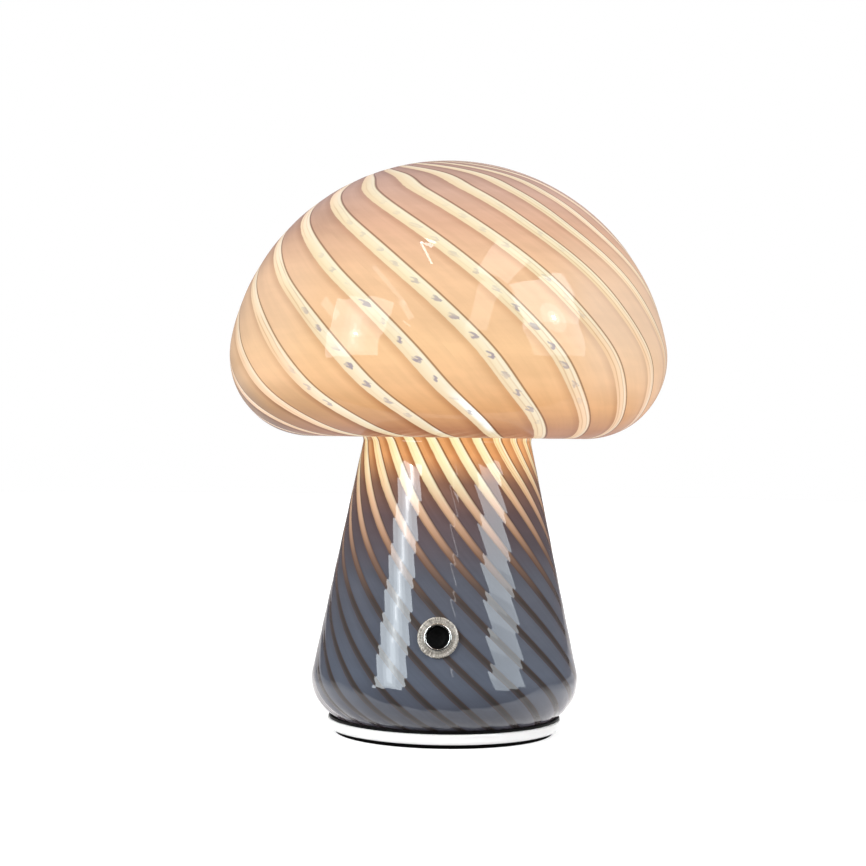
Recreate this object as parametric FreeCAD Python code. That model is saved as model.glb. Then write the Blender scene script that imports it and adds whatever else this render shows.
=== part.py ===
"""Cordless mushroom table lamp: a blown glass cap and stem on a round base, with the light engine inside.

Frame: millimetres, +Z up, origin on the table under the middle of the base, front of the lamp towards -Y.
The glass is a shell of revolution. Its stem wall leans in by stem_taper, and the push button is square to it.
"""

import FreeCAD
import Part
import math
import os
from FreeCAD import Rotation, Vector

# ---------------------------------------------------------------- glass body
overall_height = 250.0
cap_radius = 95.8  # at the widest level of the cap
dome_extra_radius = 1.0  # by which the sphere of the top is larger than the cap
cap_rim_round = 35.2  # of the rolled lower edge
underside_fall = 5.8  # degrees that the underside drops towards the neck
neck_round = 3.5
stem_taper = 11.87  # degrees from the vertical
foot_radius = 58.3  # of the glass at its widest level near the base
foot_round = 18.5
foot_round_rise = 16.0  # from the ground lip up to the level of the foot round's centre
glass_wall = 3.5
lip_thickness = 3.5
mouth_radius = 43.2  # of the opening in the bottom of the glass
neck_split_drop = 1.0  # below the neck round, where the two nodes of the one-piece glass meet

# ---------------------------------------------------------------- base
foot_ring_height = 1.9
foot_ring_inset = 3.3  # of the foot ring's outer face behind the base's
base_rim_width = 7.9  # of the base outside the mouth of the glass, where the charging socket lies
base_height = 4.5
base_top_round = 0.6
base_bottom_round = 1.4
plateau_clearance = 1.0  # between the plateau and the mouth of the glass
plateau_rise = 6.0  # above the seat for the gasket
base_wall = 2.2
gasket_height = 1.0
gasket_inset = 0.5  # of the gasket's edge behind the base's
gasket_sleeve_rise = 4.0
cover_thickness = 1.0
cover_lap = 2.4  # of the cover over the rim of the base's cavity
cover_clearance = 0.2  # round the cover, in its step and inside the foot ring

# ---------------------------------------------------------------- screws
screw_shank_radius = 1.2
screw_head_radius = 2.3
screw_head_height = 1.3
board_screw_head_height = 0.5  # low heads, because the cover is close under the board
screw_hole_gap = 0.05
boss_radius = 3.0
screws_per_ring = 3
plate_screw_length = 4.6  # under the head, into the plateau
cover_screw_inset = 4.4  # from the wall of the base's cavity
cover_screw_angle = 0.0
board_screw_circle = 28.0
board_screw_angle = 60.0
ear_screw_circle = 28.2
ear_screw_angle = 90.0
clip_screw_inset = 8.2  # from the mouth of the glass
clip_angle = 30.0

# ---------------------------------------------------------------- spring clips that hold the glass
clip_width = 9.0
clip_gauge = 0.6
clip_heel_inset = 12.2  # from the mouth of the glass, as the next two
clip_bend_inset = 4.0
clip_apex_inset = 0.6
clip_apex_rise = 8.0
clip_toe_reach = 2.8  # over the lip of the glass
clip_toe_gap = 0.15

# ---------------------------------------------------------------- column and battery
column_radius = 23.0
column_wall = 1.6
column_height = 99.6
ear_reach = 31.5
ear_width = 9.0
ear_thickness = 2.4
cell_radius = 9.2
cell_length = 64.0
cell_nub_radius = 2.8
cell_nub_height = 1.0
cell_spacing = 19.4
cell_fit_gap = 0.2
holder_fit_gap = 0.3
holder_floor = 6.6
holder_roof = 5.4
holder_window_margin = 6.0
holder_window_inset = 11.0
contact_thickness = 0.5
contact_width = 8.0
wire_duct_radius = 2.4
wire_duct_offset = 16.4

# ---------------------------------------------------------------- light engine
sink_spigot_depth = 8.0
sink_fin_thickness = 1.0
sink_fin_gap = 1.2
sink_fin_count = 3
sink_core_radius = 19.2
sink_seat_height = 1.8
sink_pad_height = 2.0  # of the raised pad inside the dome
dome_wall = 1.6
dome_straight = 32.0
dome_fit_gap = 0.1
led_board_thickness = 1.2
led_board_radius = 20.0
led_count = 12
led_circle = 14.5
led_length = 3.5
led_width = 2.8
led_height = 0.8
led_screw_offset = 7.0

# ---------------------------------------------------------------- control board and charging socket
board_radius = 33.0
board_thickness = 1.2
tongue_width = 14.0
tongue_clearance = 0.3
socket_width = 8.94
socket_height = 3.26
socket_length = 7.3
socket_wall = 0.3
socket_recess = 0.6  # behind the rim's outer face
socket_gap = 0.15
socket_tongue_thickness = 0.7
socket_tongue_width = 6.6
chip_list = (  # centre x, centre y, length, width, height
    (-12.0, 9.0, 7.0, 7.0, 1.0),
    (14.0, 6.0, 5.0, 4.0, 1.5),
    (-20.0, -8.0, 6.2, 5.0, 1.7),
    (19.0, -12.0, 4.4, 4.4, 1.2),
    (6.0, 26.0, 3.2, 1.6, 0.9),
    (-6.0, 26.0, 3.2, 1.6, 0.9),
)
coil_position = (-8.0, -14.0)
coil_radius = 4.0
coil_height = 3.6

# ---------------------------------------------------------------- push button through the glass
button_height = 46.7  # of the button's middle on the outer face of the glass
hole_radius = 6.1
grommet_radius = 8.5
grommet_face = 1.2
grommet_edge_round = 0.5
grommet_gap = 0.05
bezel_radius = 5.4
bezel_flange_radius = 5.75
bezel_flange_height = 0.9
bezel_flange_round = 0.4
bezel_bore = 4.85
bezel_depth = 11.0
button_gap = 0.15
button_recess = 0.9  # of the button's face below the bezel's face
button_dish_radius = 14.0
button_cap_length = 5.0
button_travel = 1.2
plunger_radius = 1.6
plunger_length = 9.0
plunger_gap = 0.2
spring_room = 3.2
spring_wire = 0.35
spring_radius = 3.0
spring_turns = 4.0
washer_radius = 8.6
washer_thickness = 1.6
nut_flats = 14.0
nut_thickness = 2.4
case_radius = 5.2
case_length = 9.0
terminal_length = 4.5
terminal_width = 2.0
terminal_thickness = 0.5
terminal_spacing = 4.2

# ---------------------------------------------------------------- leads
lead_radius = 0.65
lead_spacing = 2.0
lead_bend = 1.8
switch_lead_bend = 4.0
switch_lead_offset = 27.0
switch_lead_duct_radius = 3.3
led_pad_distance = 5.0
positive_lead_run = 11.0

# ------------------------------------------------- levels and radii worked out from the sizes above
taper = math.radians(stem_taper)
dome_radius = cap_radius + dome_extra_radius
fall = math.radians(underside_fall)
base_seat = foot_ring_height + base_height
lip_level = base_seat + gasket_height
foot_centre_level = lip_level + foot_round_rise
foot_centre_radius = foot_radius - foot_round
base_radius = mouth_radius + base_rim_width
foot_ring_outer = base_radius - foot_ring_inset
gasket_outer = base_radius - gasket_inset
plateau_radius = mouth_radius - plateau_clearance
plateau_top = base_seat + plateau_rise
cavity_radius = plateau_radius - base_wall
cavity_top = plateau_top - base_wall
cover_screw_circle = cavity_radius - cover_screw_inset
clip_screw_circle = mouth_radius - clip_screw_inset
clip_inner = mouth_radius - clip_heel_inset
clip_bend = mouth_radius - clip_bend_inset
clip_apex_radius = mouth_radius - clip_apex_inset
clip_toe_radius = mouth_radius + clip_toe_reach
cover_radius = cavity_radius + cover_lap
foot_ring_inner = cover_radius + cover_clearance
cover_top = foot_ring_height + cover_thickness
socket_middle = foot_ring_height + base_height / 2
board_underside = socket_middle - board_thickness / 2
board_top = board_underside + board_thickness
socket_mouth = base_radius - socket_recess
tongue_end = socket_mouth - socket_length
column_top = plateau_top + column_height
column_bore = column_radius - column_wall
cell_bottom = plateau_top + holder_floor + contact_thickness
cell_top = cell_bottom + cell_length
holder_top = cell_top + cell_nub_height + contact_thickness + holder_roof
sink_fins_height = sink_fin_count * sink_fin_thickness + (sink_fin_count - 1) * sink_fin_gap
sink_seat = column_top + sink_fins_height + sink_seat_height
sink_top = sink_seat + sink_pad_height
dome_inner_radius = column_radius - dome_wall
led_board_top = sink_top + led_board_thickness


# ---------------------------------------------------------------- general helpers
def ring_points(radius, first_angle, count=screws_per_ring):
    """Evenly spaced points (x, y) on a circle, as vectors at z = 0."""
    angles = [math.radians(first_angle + 360.0 * n / count) for n in range(count)]
    return [Vector(radius * math.cos(a), radius * math.sin(a), 0) for a in angles]


def rod(radius, bottom, top, at=Vector(0, 0, 0)):
    """A vertical cylinder between two levels."""
    return Part.makeCylinder(radius, top - bottom, Vector(at.x, at.y, bottom))


def tube(outer, inner, bottom, top):
    """A vertical tube on the lamp's axis."""
    return rod(outer, bottom, top).cut(rod(inner, bottom, top))


def block(length, width, height, middle):
    """A box with its middle at a point."""
    corner = middle - Vector(length / 2, width / 2, height / 2)
    return Part.makeBox(length, width, height, corner)


def fused(shapes):
    """One solid from several that touch or overlap."""
    whole = shapes[0]
    for shape in shapes[1:]:
        whole = whole.fuse(shape)
    return whole.removeSplitter()


def cut_all(shape, tools):
    """A shape with every tool taken away."""
    for tool in tools:
        shape = shape.cut(tool)
    return shape


def edges_at(shape, level, radius):
    """The circular edges of a shape at one level and radius."""
    found = []
    for edge in shape.Edges:
        curve = edge.Curve
        if isinstance(curve, Part.Circle):
            if abs(curve.Radius - radius) < 1e-4 and abs(curve.Center.z - level) < 1e-4:
                found.append(edge)
    return found


def turned(shape, angle):
    """A shape turned about the lamp's axis, in degrees."""
    copy = shape.copy()
    copy.rotate(Vector(0, 0, 0), Vector(0, 0, 1), angle)
    return copy


def arc_points(centre_r, centre_z, radius, start, end):
    """Start, middle and end of an arc in the half section, as vectors in the XZ plane."""
    angles = (start, (start + end) / 2, end)
    return [
        Vector(centre_r + radius * math.cos(a), 0, centre_z + radius * math.sin(a))
        for a in angles
    ]


def arc(points):
    return Part.Arc(*points).toShape()


def line(start, end):
    return Part.LineSegment(start, end).toShape()


def revolved(edges):
    """A solid of revolution about Z from a closed half section in the XZ plane."""
    face = Part.Face(Part.Wire(edges))
    return face.revolve(Vector(0, 0, 0), Vector(0, 0, 1), 360)


def tangent_path(points, bends):
    """A wire of straight runs through points, with a tangent arc of the given radius at each inner point."""
    edges = []
    start = points[0]
    for before, corner, after, radius in zip(points, points[1:], points[2:], bends):
        back = (before - corner).normalize()
        ahead = (after - corner).normalize()
        half = back.getAngle(ahead) / 2
        reach = radius / math.tan(half)
        first = corner + back * reach
        last = corner + ahead * reach
        middle_way = (back + ahead).normalize()
        middle = corner + middle_way * (radius / math.sin(half) - radius)
        edges.append(line(start, first))
        edges.append(Part.Arc(first, middle, last).toShape())
        start = last
    edges.append(line(start, points[-1]))
    return Part.Wire(edges)


def lead(points, bends):
    """One insulated wire along runs and arcs."""
    direction = points[1] - points[0]
    section = Part.Wire(Part.makeCircle(lead_radius, points[0], direction))
    if not bends:
        return Part.Face(section).extrude(direction)
    path = tangent_path(points, bends)
    solid = path.makePipeShell([section], True, False)
    return solid


# ---------------------------------------------------------------- glass
def stem_radius(level, wall=0.0):
    """Radius of the stem's wall at a level, moved inwards by the wall's thickness."""
    start_r = foot_centre_radius + (foot_round - wall) * math.cos(taper)
    start_z = foot_centre_level + (foot_round - wall) * math.sin(taper)
    return start_r - (level - start_z) * math.tan(taper)


def cap_rounds():
    """Level of the dome's centre, then radius and level of the centre of the rolled edge."""
    dome_level = overall_height - dome_radius
    rim_r = cap_radius - cap_rim_round
    rim_z = dome_level + math.sqrt((dome_radius - cap_rim_round) ** 2 - rim_r**2)
    return dome_level, rim_r, rim_z


def neck_circle(wall):
    """Centre, radius, first and last angle of the round outside the glass that joins underside and stem."""
    _, rim_r, rim_z = cap_rounds()
    rim_end = -math.pi / 2 - fall
    reach = cap_rim_round - wall
    rim_foot = Vector(rim_r + reach * math.cos(rim_end), 0, rim_z + reach * math.sin(rim_end))
    neck_radius = neck_round + wall
    inwards = Vector(math.sin(rim_end), 0, -math.cos(rim_end))
    up_stem = Vector(-math.sin(taper), 0, math.cos(taper))
    stem_foot = Vector(stem_radius(foot_centre_level, wall), 0, foot_centre_level)
    below_underside = Vector(-inwards.z, 0, inwards.x) * -neck_radius
    if below_underside.z > 0:
        below_underside = below_underside * -1
    outside_stem = Vector(math.cos(taper), 0, math.sin(taper)) * neck_radius
    start = rim_foot + below_underside
    gap = stem_foot + outside_stem - start
    cross = inwards.x * up_stem.z - inwards.z * up_stem.x
    along = (gap.x * up_stem.z - gap.z * up_stem.x) / cross
    centre = start + inwards * along
    first = math.atan2(-below_underside.z, -below_underside.x)
    last = math.atan2(-outside_stem.z, -outside_stem.x)
    if last < first:
        last += 2 * math.pi
    return centre, neck_radius, first, last


def glass_form(wall, floor_level):
    """The solid inside the glass's outer face, moved inwards by wall and closed at floor_level."""
    dome_level, rim_r, rim_z = cap_rounds()
    dome_end = math.atan2(rim_z - dome_level, rim_r)
    dome = arc_points(0, dome_level, dome_radius - wall, math.pi / 2, dome_end)
    rim = arc_points(rim_r, rim_z, cap_rim_round - wall, dome_end, -math.pi / 2 - fall)
    centre, neck_radius, first, last = neck_circle(wall)
    neck = arc_points(centre.x, centre.z, neck_radius, first, last)

    # Foot round: tangent to the stem and level at the floor.
    foot_r = foot_centre_level - floor_level
    foot_x = foot_centre_radius + (foot_round - wall - foot_r) / math.cos(taper)
    foot = arc_points(foot_x, foot_centre_level, foot_r, taper, -math.pi / 2)
    axis_foot = Vector(0, 0, floor_level)
    return revolved(
        [
            arc(dome),
            arc(rim),
            line(rim[2], neck[0]),
            arc(neck),
            line(neck[2], foot[0]),
            arc(foot),
            line(foot[2], axis_foot),
            line(axis_foot, dome[0]),
        ]
    )


def glass_outer():
    return glass_form(0.0, foot_centre_level - foot_round)


def glass_inner():
    return glass_form(glass_wall, lip_level + lip_thickness)


def cap_stem_level():
    """Where the cap's node and the stem's node of the one-piece glass meet, just under the neck round."""
    centre, neck_radius, _, last = neck_circle(0.0)
    return centre.z + neck_radius * math.sin(last) - neck_split_drop


def make_glass_cap():
    """The domed cap with its rolled edge and neck."""
    below_neck = rod(foot_radius, 0, cap_stem_level())
    return cut_all(glass_outer(), [glass_inner(), below_neck])


def make_glass_stem():
    """The flared stem from the neck to the ground lip, with the hole for the push button."""
    above_neck = rod(cap_radius + glass_wall, cap_stem_level(), overall_height + glass_wall)
    below_lip = rod(foot_radius, 0, lip_level)
    mouth = rod(mouth_radius, 0, lip_level + 2 * lip_thickness)
    hole = at_button(rod(hole_radius, -4 * glass_wall, 2 * glass_wall))
    return cut_all(glass_outer(), [glass_inner(), above_neck, below_lip, mouth, hole])


# ---------------------------------------------------------------- base
def make_foot_ring():
    return tube(foot_ring_outer, foot_ring_inner, 0, foot_ring_height)


def make_base_shell():
    disc = rod(base_radius, foot_ring_height, base_seat)
    disc = disc.makeFillet(base_top_round, edges_at(disc, base_seat, base_radius))
    disc = disc.makeFillet(base_bottom_round, edges_at(disc, foot_ring_height, base_radius))
    plateau = rod(plateau_radius, base_seat, plateau_top)
    cavity = rod(cavity_radius, foot_ring_height, cavity_top)
    cover_step = rod(cover_radius + cover_clearance, foot_ring_height, cover_top)
    shell = cut_all(fused([disc, plateau]), [cavity, cover_step])

    cover_bosses = [
        rod(boss_radius, cover_top, cavity_top, p)
        for p in ring_points(cover_screw_circle, cover_screw_angle)
    ]
    board_bosses = [
        rod(boss_radius, board_top, cavity_top, p)
        for p in ring_points(board_screw_circle, board_screw_angle)
    ]
    top_boss_foot = plateau_top - plate_screw_length - base_wall / 2
    top_bosses = [
        rod(boss_radius, top_boss_foot, cavity_top, p)
        for p in ring_points(ear_screw_circle, ear_screw_angle)
        + ring_points(clip_screw_circle, clip_angle)
    ]
    shell = fused([shell] + cover_bosses + board_bosses + top_bosses)

    hole_radius_for_screw = screw_shank_radius + screw_hole_gap
    pilot_top = cavity_top - screw_hole_gap
    from_below = [
        rod(hole_radius_for_screw, 0, pilot_top, p)
        for p in ring_points(cover_screw_circle, cover_screw_angle)
        + ring_points(board_screw_circle, board_screw_angle)
    ]
    from_above = [
        rod(hole_radius_for_screw, plateau_top - plate_screw_length, plateau_top, p)
        for p in ring_points(ear_screw_circle, ear_screw_angle)
        + ring_points(clip_screw_circle, clip_angle)
    ]
    duct_span = (cavity_top, plateau_top)
    ducts = [
        rod(wire_duct_radius, *duct_span, Vector(0, wire_duct_offset, 0)),
        rod(wire_duct_radius, *duct_span, Vector(0, -wire_duct_offset, 0)),
        rod(wire_duct_radius, *duct_span, Vector(cell_spacing / 2, 0, 0)),
        rod(switch_lead_duct_radius, *duct_span, Vector(0, -switch_lead_offset, 0)),
    ]
    mouth_width = socket_width + 2 * socket_gap
    mouth_height = socket_height + 2 * socket_gap
    rim_run = base_radius - cavity_radius + base_wall
    mouth = block(mouth_width, rim_run, mouth_height, Vector(0, 0, 0))
    mouth = mouth.makeFillet(mouth_height / 2 - 0.05, [e for e in mouth.Edges if is_along_y(e)])
    mouth.translate(Vector(0, base_radius - rim_run / 2 + base_wall / 2, socket_middle))
    tongue_start = cavity_radius - base_wall
    tongue_length = tongue_end + tongue_clearance - tongue_start
    tongue_room = block(
        tongue_width + 2 * tongue_clearance,
        tongue_length,
        board_thickness + 2 * tongue_clearance,
        Vector(0, tongue_start + tongue_length / 2, socket_middle),
    )
    return cut_all(shell, from_below + from_above + ducts + [mouth, tongue_room])


def is_along_y(edge):
    """Whether a straight edge runs along Y."""
    ends = edge.lastVertex().Point - edge.firstVertex().Point
    return abs(ends.x) < 1e-6 and abs(ends.z) < 1e-6


def make_glass_gasket():
    sleeve_inner = plateau_radius + screw_hole_gap
    sleeve_outer = mouth_radius - screw_hole_gap
    washer = tube(gasket_outer, sleeve_inner, base_seat, lip_level)
    sleeve = tube(sleeve_outer, sleeve_inner, base_seat, base_seat + gasket_sleeve_rise)
    return fused([washer, sleeve])


def make_bottom_cover():
    plate = rod(cover_radius, foot_ring_height, cover_top)
    holes = [
        rod(screw_shank_radius + screw_hole_gap, 0, cover_top, p)
        for p in ring_points(cover_screw_circle, cover_screw_angle)
    ]
    sinks = [
        rod(screw_head_radius + screw_hole_gap, 0, foot_ring_height + cover_thickness / 2, p)
        for p in ring_points(cover_screw_circle, cover_screw_angle)
    ]
    return cut_all(plate, holes + sinks)


def screw(head_level, shank_length, at, points_up=False, head_height=screw_head_height):
    """A pan head screw. Its head rests on head_level, and its shank goes down, or up if points_up."""
    head = rod(screw_head_radius, 0, head_height)
    head = head.makeFillet(head_height / 2, edges_at(head, head_height, screw_head_radius))
    slot_depth = head_height / 2
    slots = [
        block(*size, Vector(0, 0, head_height))
        for size in (
            (screw_head_radius, screw_head_radius / 5, slot_depth),
            (screw_head_radius / 5, screw_head_radius, slot_depth),
        )
    ]
    shank = rod(screw_shank_radius, -shank_length, 0)
    whole = fused([cut_all(head, slots), shank])
    if points_up:
        whole.rotate(Vector(0, 0, 0), Vector(1, 0, 0), 180)
    whole.translate(Vector(at.x, at.y, head_level))
    return whole


def make_cover_screws():
    level = foot_ring_height + cover_thickness / 2
    depth = cavity_top - level - base_wall
    places = ring_points(cover_screw_circle, cover_screw_angle)
    return Part.Compound([screw(level, depth, p, True) for p in places])


def make_clips():
    """Three bent spring strips, each with its foot on the plateau and its toe on the lip of the glass."""
    toe_arc_radius = foot_centre_level - lip_level - lip_thickness
    toe_arc_r = foot_centre_radius + (foot_round - glass_wall - toe_arc_radius) / math.cos(taper)
    glass_under_toe = foot_centre_level - math.sqrt(
        toe_arc_radius**2 - (clip_toe_radius - toe_arc_r) ** 2
    )
    half = clip_gauge / 2
    middle = plateau_top + half
    bends = [
        Vector(clip_inner, 0, middle),
        Vector(clip_bend, 0, middle),
        Vector(clip_apex_radius, 0, plateau_top + clip_apex_rise),
        Vector(clip_toe_radius, 0, glass_under_toe + clip_toe_gap + half),
    ]
    strips = [strip(a, b) for a, b in zip(bends, bends[1:])]
    knees = [
        Part.makeCylinder(half, clip_width, p - Vector(0, clip_width / 2, 0), Vector(0, 1, 0))
        for p in bends[1:]
    ]
    clip = fused(strips + knees)
    hole_span = (plateau_top, plateau_top + clip_gauge)
    screw_place = Vector(clip_screw_circle, 0, 0)
    clip = clip.cut(rod(screw_shank_radius + screw_hole_gap, *hole_span, screw_place))
    step = 360.0 / screws_per_ring
    return Part.Compound([turned(clip, clip_angle + step * n) for n in range(screws_per_ring)])


def strip(start, end):
    """A flat strip of the clip's gauge and width between two points in the XZ plane."""
    run = end - start
    piece = Part.makeBox(run.Length, clip_width, clip_gauge)
    piece.translate(Vector(0, -clip_width / 2, -clip_gauge / 2))
    piece.rotate(Vector(0, 0, 0), Vector(0, 1, 0), -math.degrees(math.atan2(run.z, run.x)))
    piece.translate(start)
    return piece


def make_clip_screws():
    level = plateau_top + clip_gauge
    depth = plate_screw_length + clip_gauge - screw_hole_gap
    places = ring_points(clip_screw_circle, clip_angle)
    return Part.Compound([screw(level, depth, p) for p in places])


# ---------------------------------------------------------------- column and battery
def make_column():
    body = tube(column_radius, column_bore, plateau_top, column_top)
    ears = []
    for place in ring_points(ear_screw_circle, ear_screw_angle):
        reach = ear_reach - column_bore
        middle_radius = (ear_reach + column_bore) / 2
        ear = block(
            reach,
            ear_width,
            ear_thickness,
            Vector(middle_radius, 0, plateau_top + ear_thickness / 2),
        )
        ear = turned(ear, math.degrees(math.atan2(place.y, place.x)))
        hole = rod(
            screw_shank_radius + screw_hole_gap,
            plateau_top,
            plateau_top + ear_thickness,
            place,
        )
        ears.append(ear.cut(hole))
    bore = rod(column_bore, plateau_top, column_top)
    return fused([body] + ears).cut(bore)


def make_column_screws():
    level = plateau_top + ear_thickness
    depth = plate_screw_length + ear_thickness - screw_hole_gap
    places = ring_points(ear_screw_circle, ear_screw_angle)
    return Part.Compound([screw(level, depth, p) for p in places])


def cell_places():
    return [Vector(side * cell_spacing / 2, 0, 0) for side in (-1, 1)]


def make_cell_holder():
    body = rod(column_bore - holder_fit_gap, plateau_top, holder_top)
    bay_bottom = plateau_top + holder_floor
    bay_top = holder_top - holder_roof
    bays = [rod(cell_radius + cell_fit_gap, bay_bottom, bay_top, p) for p in cell_places()]
    window_height = cell_length - 2 * holder_window_margin
    middle = (cell_bottom + cell_top) / 2
    windows = [
        block(
            column_radius,
            2 * cell_radius,
            window_height,
            Vector(side * (holder_window_inset + column_radius / 2), 0, middle),
        )
        for side in (-1, 1)
    ]
    ducts = [
        rod(wire_duct_radius, plateau_top, holder_top, Vector(0, side * wire_duct_offset, 0))
        for side in (-1, 1)
    ]
    slots = [contact_strip(bay_bottom), contact_strip(bay_top - contact_thickness)]
    lead_hole = rod(wire_duct_radius, plateau_top, bay_bottom, Vector(cell_spacing / 2, 0, 0))
    strip_level = bay_top - contact_thickness
    crossing_height = contact_thickness + 2 * lead_radius + holder_fit_gap
    crossing = Part.makeBox(
        2 * wire_duct_radius,
        wire_duct_offset,
        crossing_height,
        Vector(-wire_duct_radius, -wire_duct_offset, strip_level),
    )
    return cut_all(body, bays + windows + ducts + slots + [lead_hole, crossing])


def contact_strip(bottom):
    """A nickel strip that joins both cells at one end."""
    length = cell_spacing + contact_width
    middle = Vector(0, 0, bottom + contact_thickness / 2)
    return block(length, contact_width, contact_thickness, middle)


def make_battery_cells():
    cells = []
    for place in cell_places():
        can = rod(cell_radius, cell_bottom, cell_top, place)
        can = can.makeFillet(cell_radius / 12, edges_at(can, cell_top, cell_radius))
        nub = rod(cell_nub_radius, cell_top, cell_top + cell_nub_height, place)
        cells.append(fused([can, nub]))
    return Part.Compound(cells)


def make_cell_contacts():
    low = contact_strip(cell_bottom - contact_thickness)
    high = contact_strip(cell_top + cell_nub_height)
    return Part.Compound([low, high])


# ---------------------------------------------------------------- light engine
def make_heat_sink():
    spigot = rod(column_bore - holder_fit_gap, column_top - sink_spigot_depth, column_top)
    core = rod(sink_core_radius, column_top, sink_seat)
    pitch = sink_fin_thickness + sink_fin_gap
    fins = []
    for n in range(sink_fin_count):
        bottom = column_top + n * pitch
        fins.append(rod(column_radius, bottom, bottom + sink_fin_thickness))
    seat = rod(column_radius, sink_seat - sink_seat_height, sink_seat)
    pad = rod(dome_inner_radius - dome_fit_gap, sink_seat, sink_top)
    whole = fused([spigot, core, seat, pad] + fins)
    duct = rod(
        wire_duct_radius,
        column_top - sink_spigot_depth,
        sink_top,
        Vector(0, wire_duct_offset, 0),
    )
    screw_holes = [
        rod(
            screw_shank_radius + screw_hole_gap,
            led_board_top - plate_screw_length,
            sink_top,
            p,
        )
        for p in led_screw_places()
    ]
    return cut_all(whole, [duct] + screw_holes)


def led_screw_places():
    return [Vector(side * led_screw_offset, 0, 0) for side in (-1, 1)]


def make_led_board():
    plate = rod(led_board_radius, sink_top, led_board_top)
    duct = rod(wire_duct_radius, sink_top, led_board_top, Vector(0, wire_duct_offset, 0))
    holes = [
        rod(screw_shank_radius + screw_hole_gap, sink_top, led_board_top, p)
        for p in led_screw_places()
    ]
    return cut_all(plate, [duct] + holes)


def make_led_board_screws():
    depth = plate_screw_length - screw_hole_gap
    return Part.Compound([screw(led_board_top, depth, p) for p in led_screw_places()])


def make_led_chips():
    chips = []
    for n in range(led_count):
        angle = 360.0 * (n + 0.5) / led_count
        middle = Vector(led_circle, 0, led_board_top + led_height / 2)
        chips.append(turned(block(led_length, led_width, led_height, middle), angle))
    return Part.Compound(chips)


def dome_solid(radius, top_of_straight):
    """A cylinder from the heat sink's seat with a half ball on top."""
    ball = Part.makeSphere(radius, Vector(0, 0, top_of_straight))
    return fused([rod(radius, sink_seat, top_of_straight), ball.common(above(top_of_straight))])


def above(level):
    side = 4 * column_radius
    return Part.makeBox(side, side, side, Vector(-side / 2, -side / 2, level))


def make_light_dome():
    top_of_straight = sink_seat + dome_straight
    outer = dome_solid(column_radius, top_of_straight)
    return outer.cut(dome_solid(dome_inner_radius, top_of_straight))


# ---------------------------------------------------------------- control board
def make_control_board():
    disc = rod(board_radius, board_underside, board_top)
    tongue = Part.makeBox(
        tongue_width,
        tongue_end,
        board_thickness,
        Vector(-tongue_width / 2, 0, board_underside),
    )
    holes = [
        rod(screw_shank_radius + screw_hole_gap, board_underside, board_top, p)
        for p in ring_points(board_screw_circle, board_screw_angle)
    ]
    cover_notches = [
        rod(boss_radius + tongue_clearance, board_underside, board_top, p)
        for p in ring_points(cover_screw_circle, cover_screw_angle)
    ]
    return cut_all(fused([disc, tongue]), holes + cover_notches)


def make_board_screws():
    depth = cavity_top - board_underside - base_wall
    places = ring_points(board_screw_circle, board_screw_angle)
    screws = [screw(board_underside, depth, p, True, board_screw_head_height) for p in places]
    return Part.Compound(screws)


def make_board_chips():
    chips = [
        block(length, width, height, Vector(x, y, board_top + height / 2))
        for x, y, length, width, height in chip_list
    ]
    return Part.Compound(chips)


def make_choke_coil():
    place = Vector(*coil_position, 0)
    waist = rod(coil_radius * 0.8, board_top, board_top + coil_height, place)
    flange = coil_height / 5
    low = rod(coil_radius, board_top, board_top + flange, place)
    high = rod(coil_radius, board_top + coil_height - flange, board_top + coil_height, place)
    return fused([waist, low, high])


def rounded_slab(width, height, length, middle):
    """A slab along Y with fully rounded sides, as a charging socket has."""
    slab = block(width, length, height, Vector(0, 0, 0))
    slab = slab.makeFillet(height / 2 - 0.05, [e for e in slab.Edges if is_along_y(e)])
    slab.translate(middle)
    return slab


def make_charge_socket():
    middle = Vector(0, socket_mouth - socket_length / 2, socket_middle)
    shell = rounded_slab(socket_width, socket_height, socket_length, middle)
    room_length = socket_length - 2 * socket_wall
    room_middle = Vector(0, socket_mouth - room_length / 2, socket_middle)
    room = rounded_slab(
        socket_width - 2 * socket_wall,
        socket_height - 2 * socket_wall,
        room_length,
        room_middle,
    )
    blade_length = room_length - 1.0
    blade = block(
        socket_tongue_width,
        blade_length,
        socket_tongue_thickness,
        Vector(0, socket_mouth - room_length + blade_length / 2, socket_middle),
    )
    back = Vector(0, socket_mouth - socket_length + socket_wall / 2, socket_middle)
    back_plate = block(socket_tongue_width, socket_wall, socket_tongue_thickness, back)
    return fused([shell.cut(room), blade, back_plate])


# ---------------------------------------------------------------- push button
def button_axis():
    """The outward normal of the glass at the button."""
    return Vector(0, -math.cos(taper), math.sin(taper))


def button_place():
    """The point on the outer face of the glass where the button's axis leaves it."""
    return Vector(0, -stem_radius(button_height), button_height)


def at_button(shape):
    """A shape made along +Z with the glass's outer face at z = 0, moved to the button's place."""
    moved = shape.copy()
    turn = Rotation(Vector(0, 0, 1), button_axis())
    moved.Placement = FreeCAD.Placement(button_place(), turn).multiply(moved.Placement)
    return moved


bezel_face = grommet_face + bezel_flange_height
bezel_floor = bezel_face - bezel_depth
button_face = bezel_face - button_recess
button_back = button_face - button_cap_length
nut_face = -(glass_wall + washer_thickness)
case_back = bezel_floor - case_length


def make_switch_grommet():
    """A clear soft ring that follows the glass, with a sleeve through the hole."""
    face = rod(grommet_radius, -glass_wall, grommet_face)
    face = face.makeFillet(grommet_edge_round, edges_at(face, grommet_face, grommet_radius))
    face = at_button(face).cut(glass_outer())
    sleeve = at_button(rod(hole_radius - grommet_gap, -glass_wall, grommet_face / 2))
    bore = at_button(rod(bezel_radius + grommet_gap, -2 * glass_wall, 2 * grommet_face))
    return fused([face, sleeve]).cut(bore)


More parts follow.
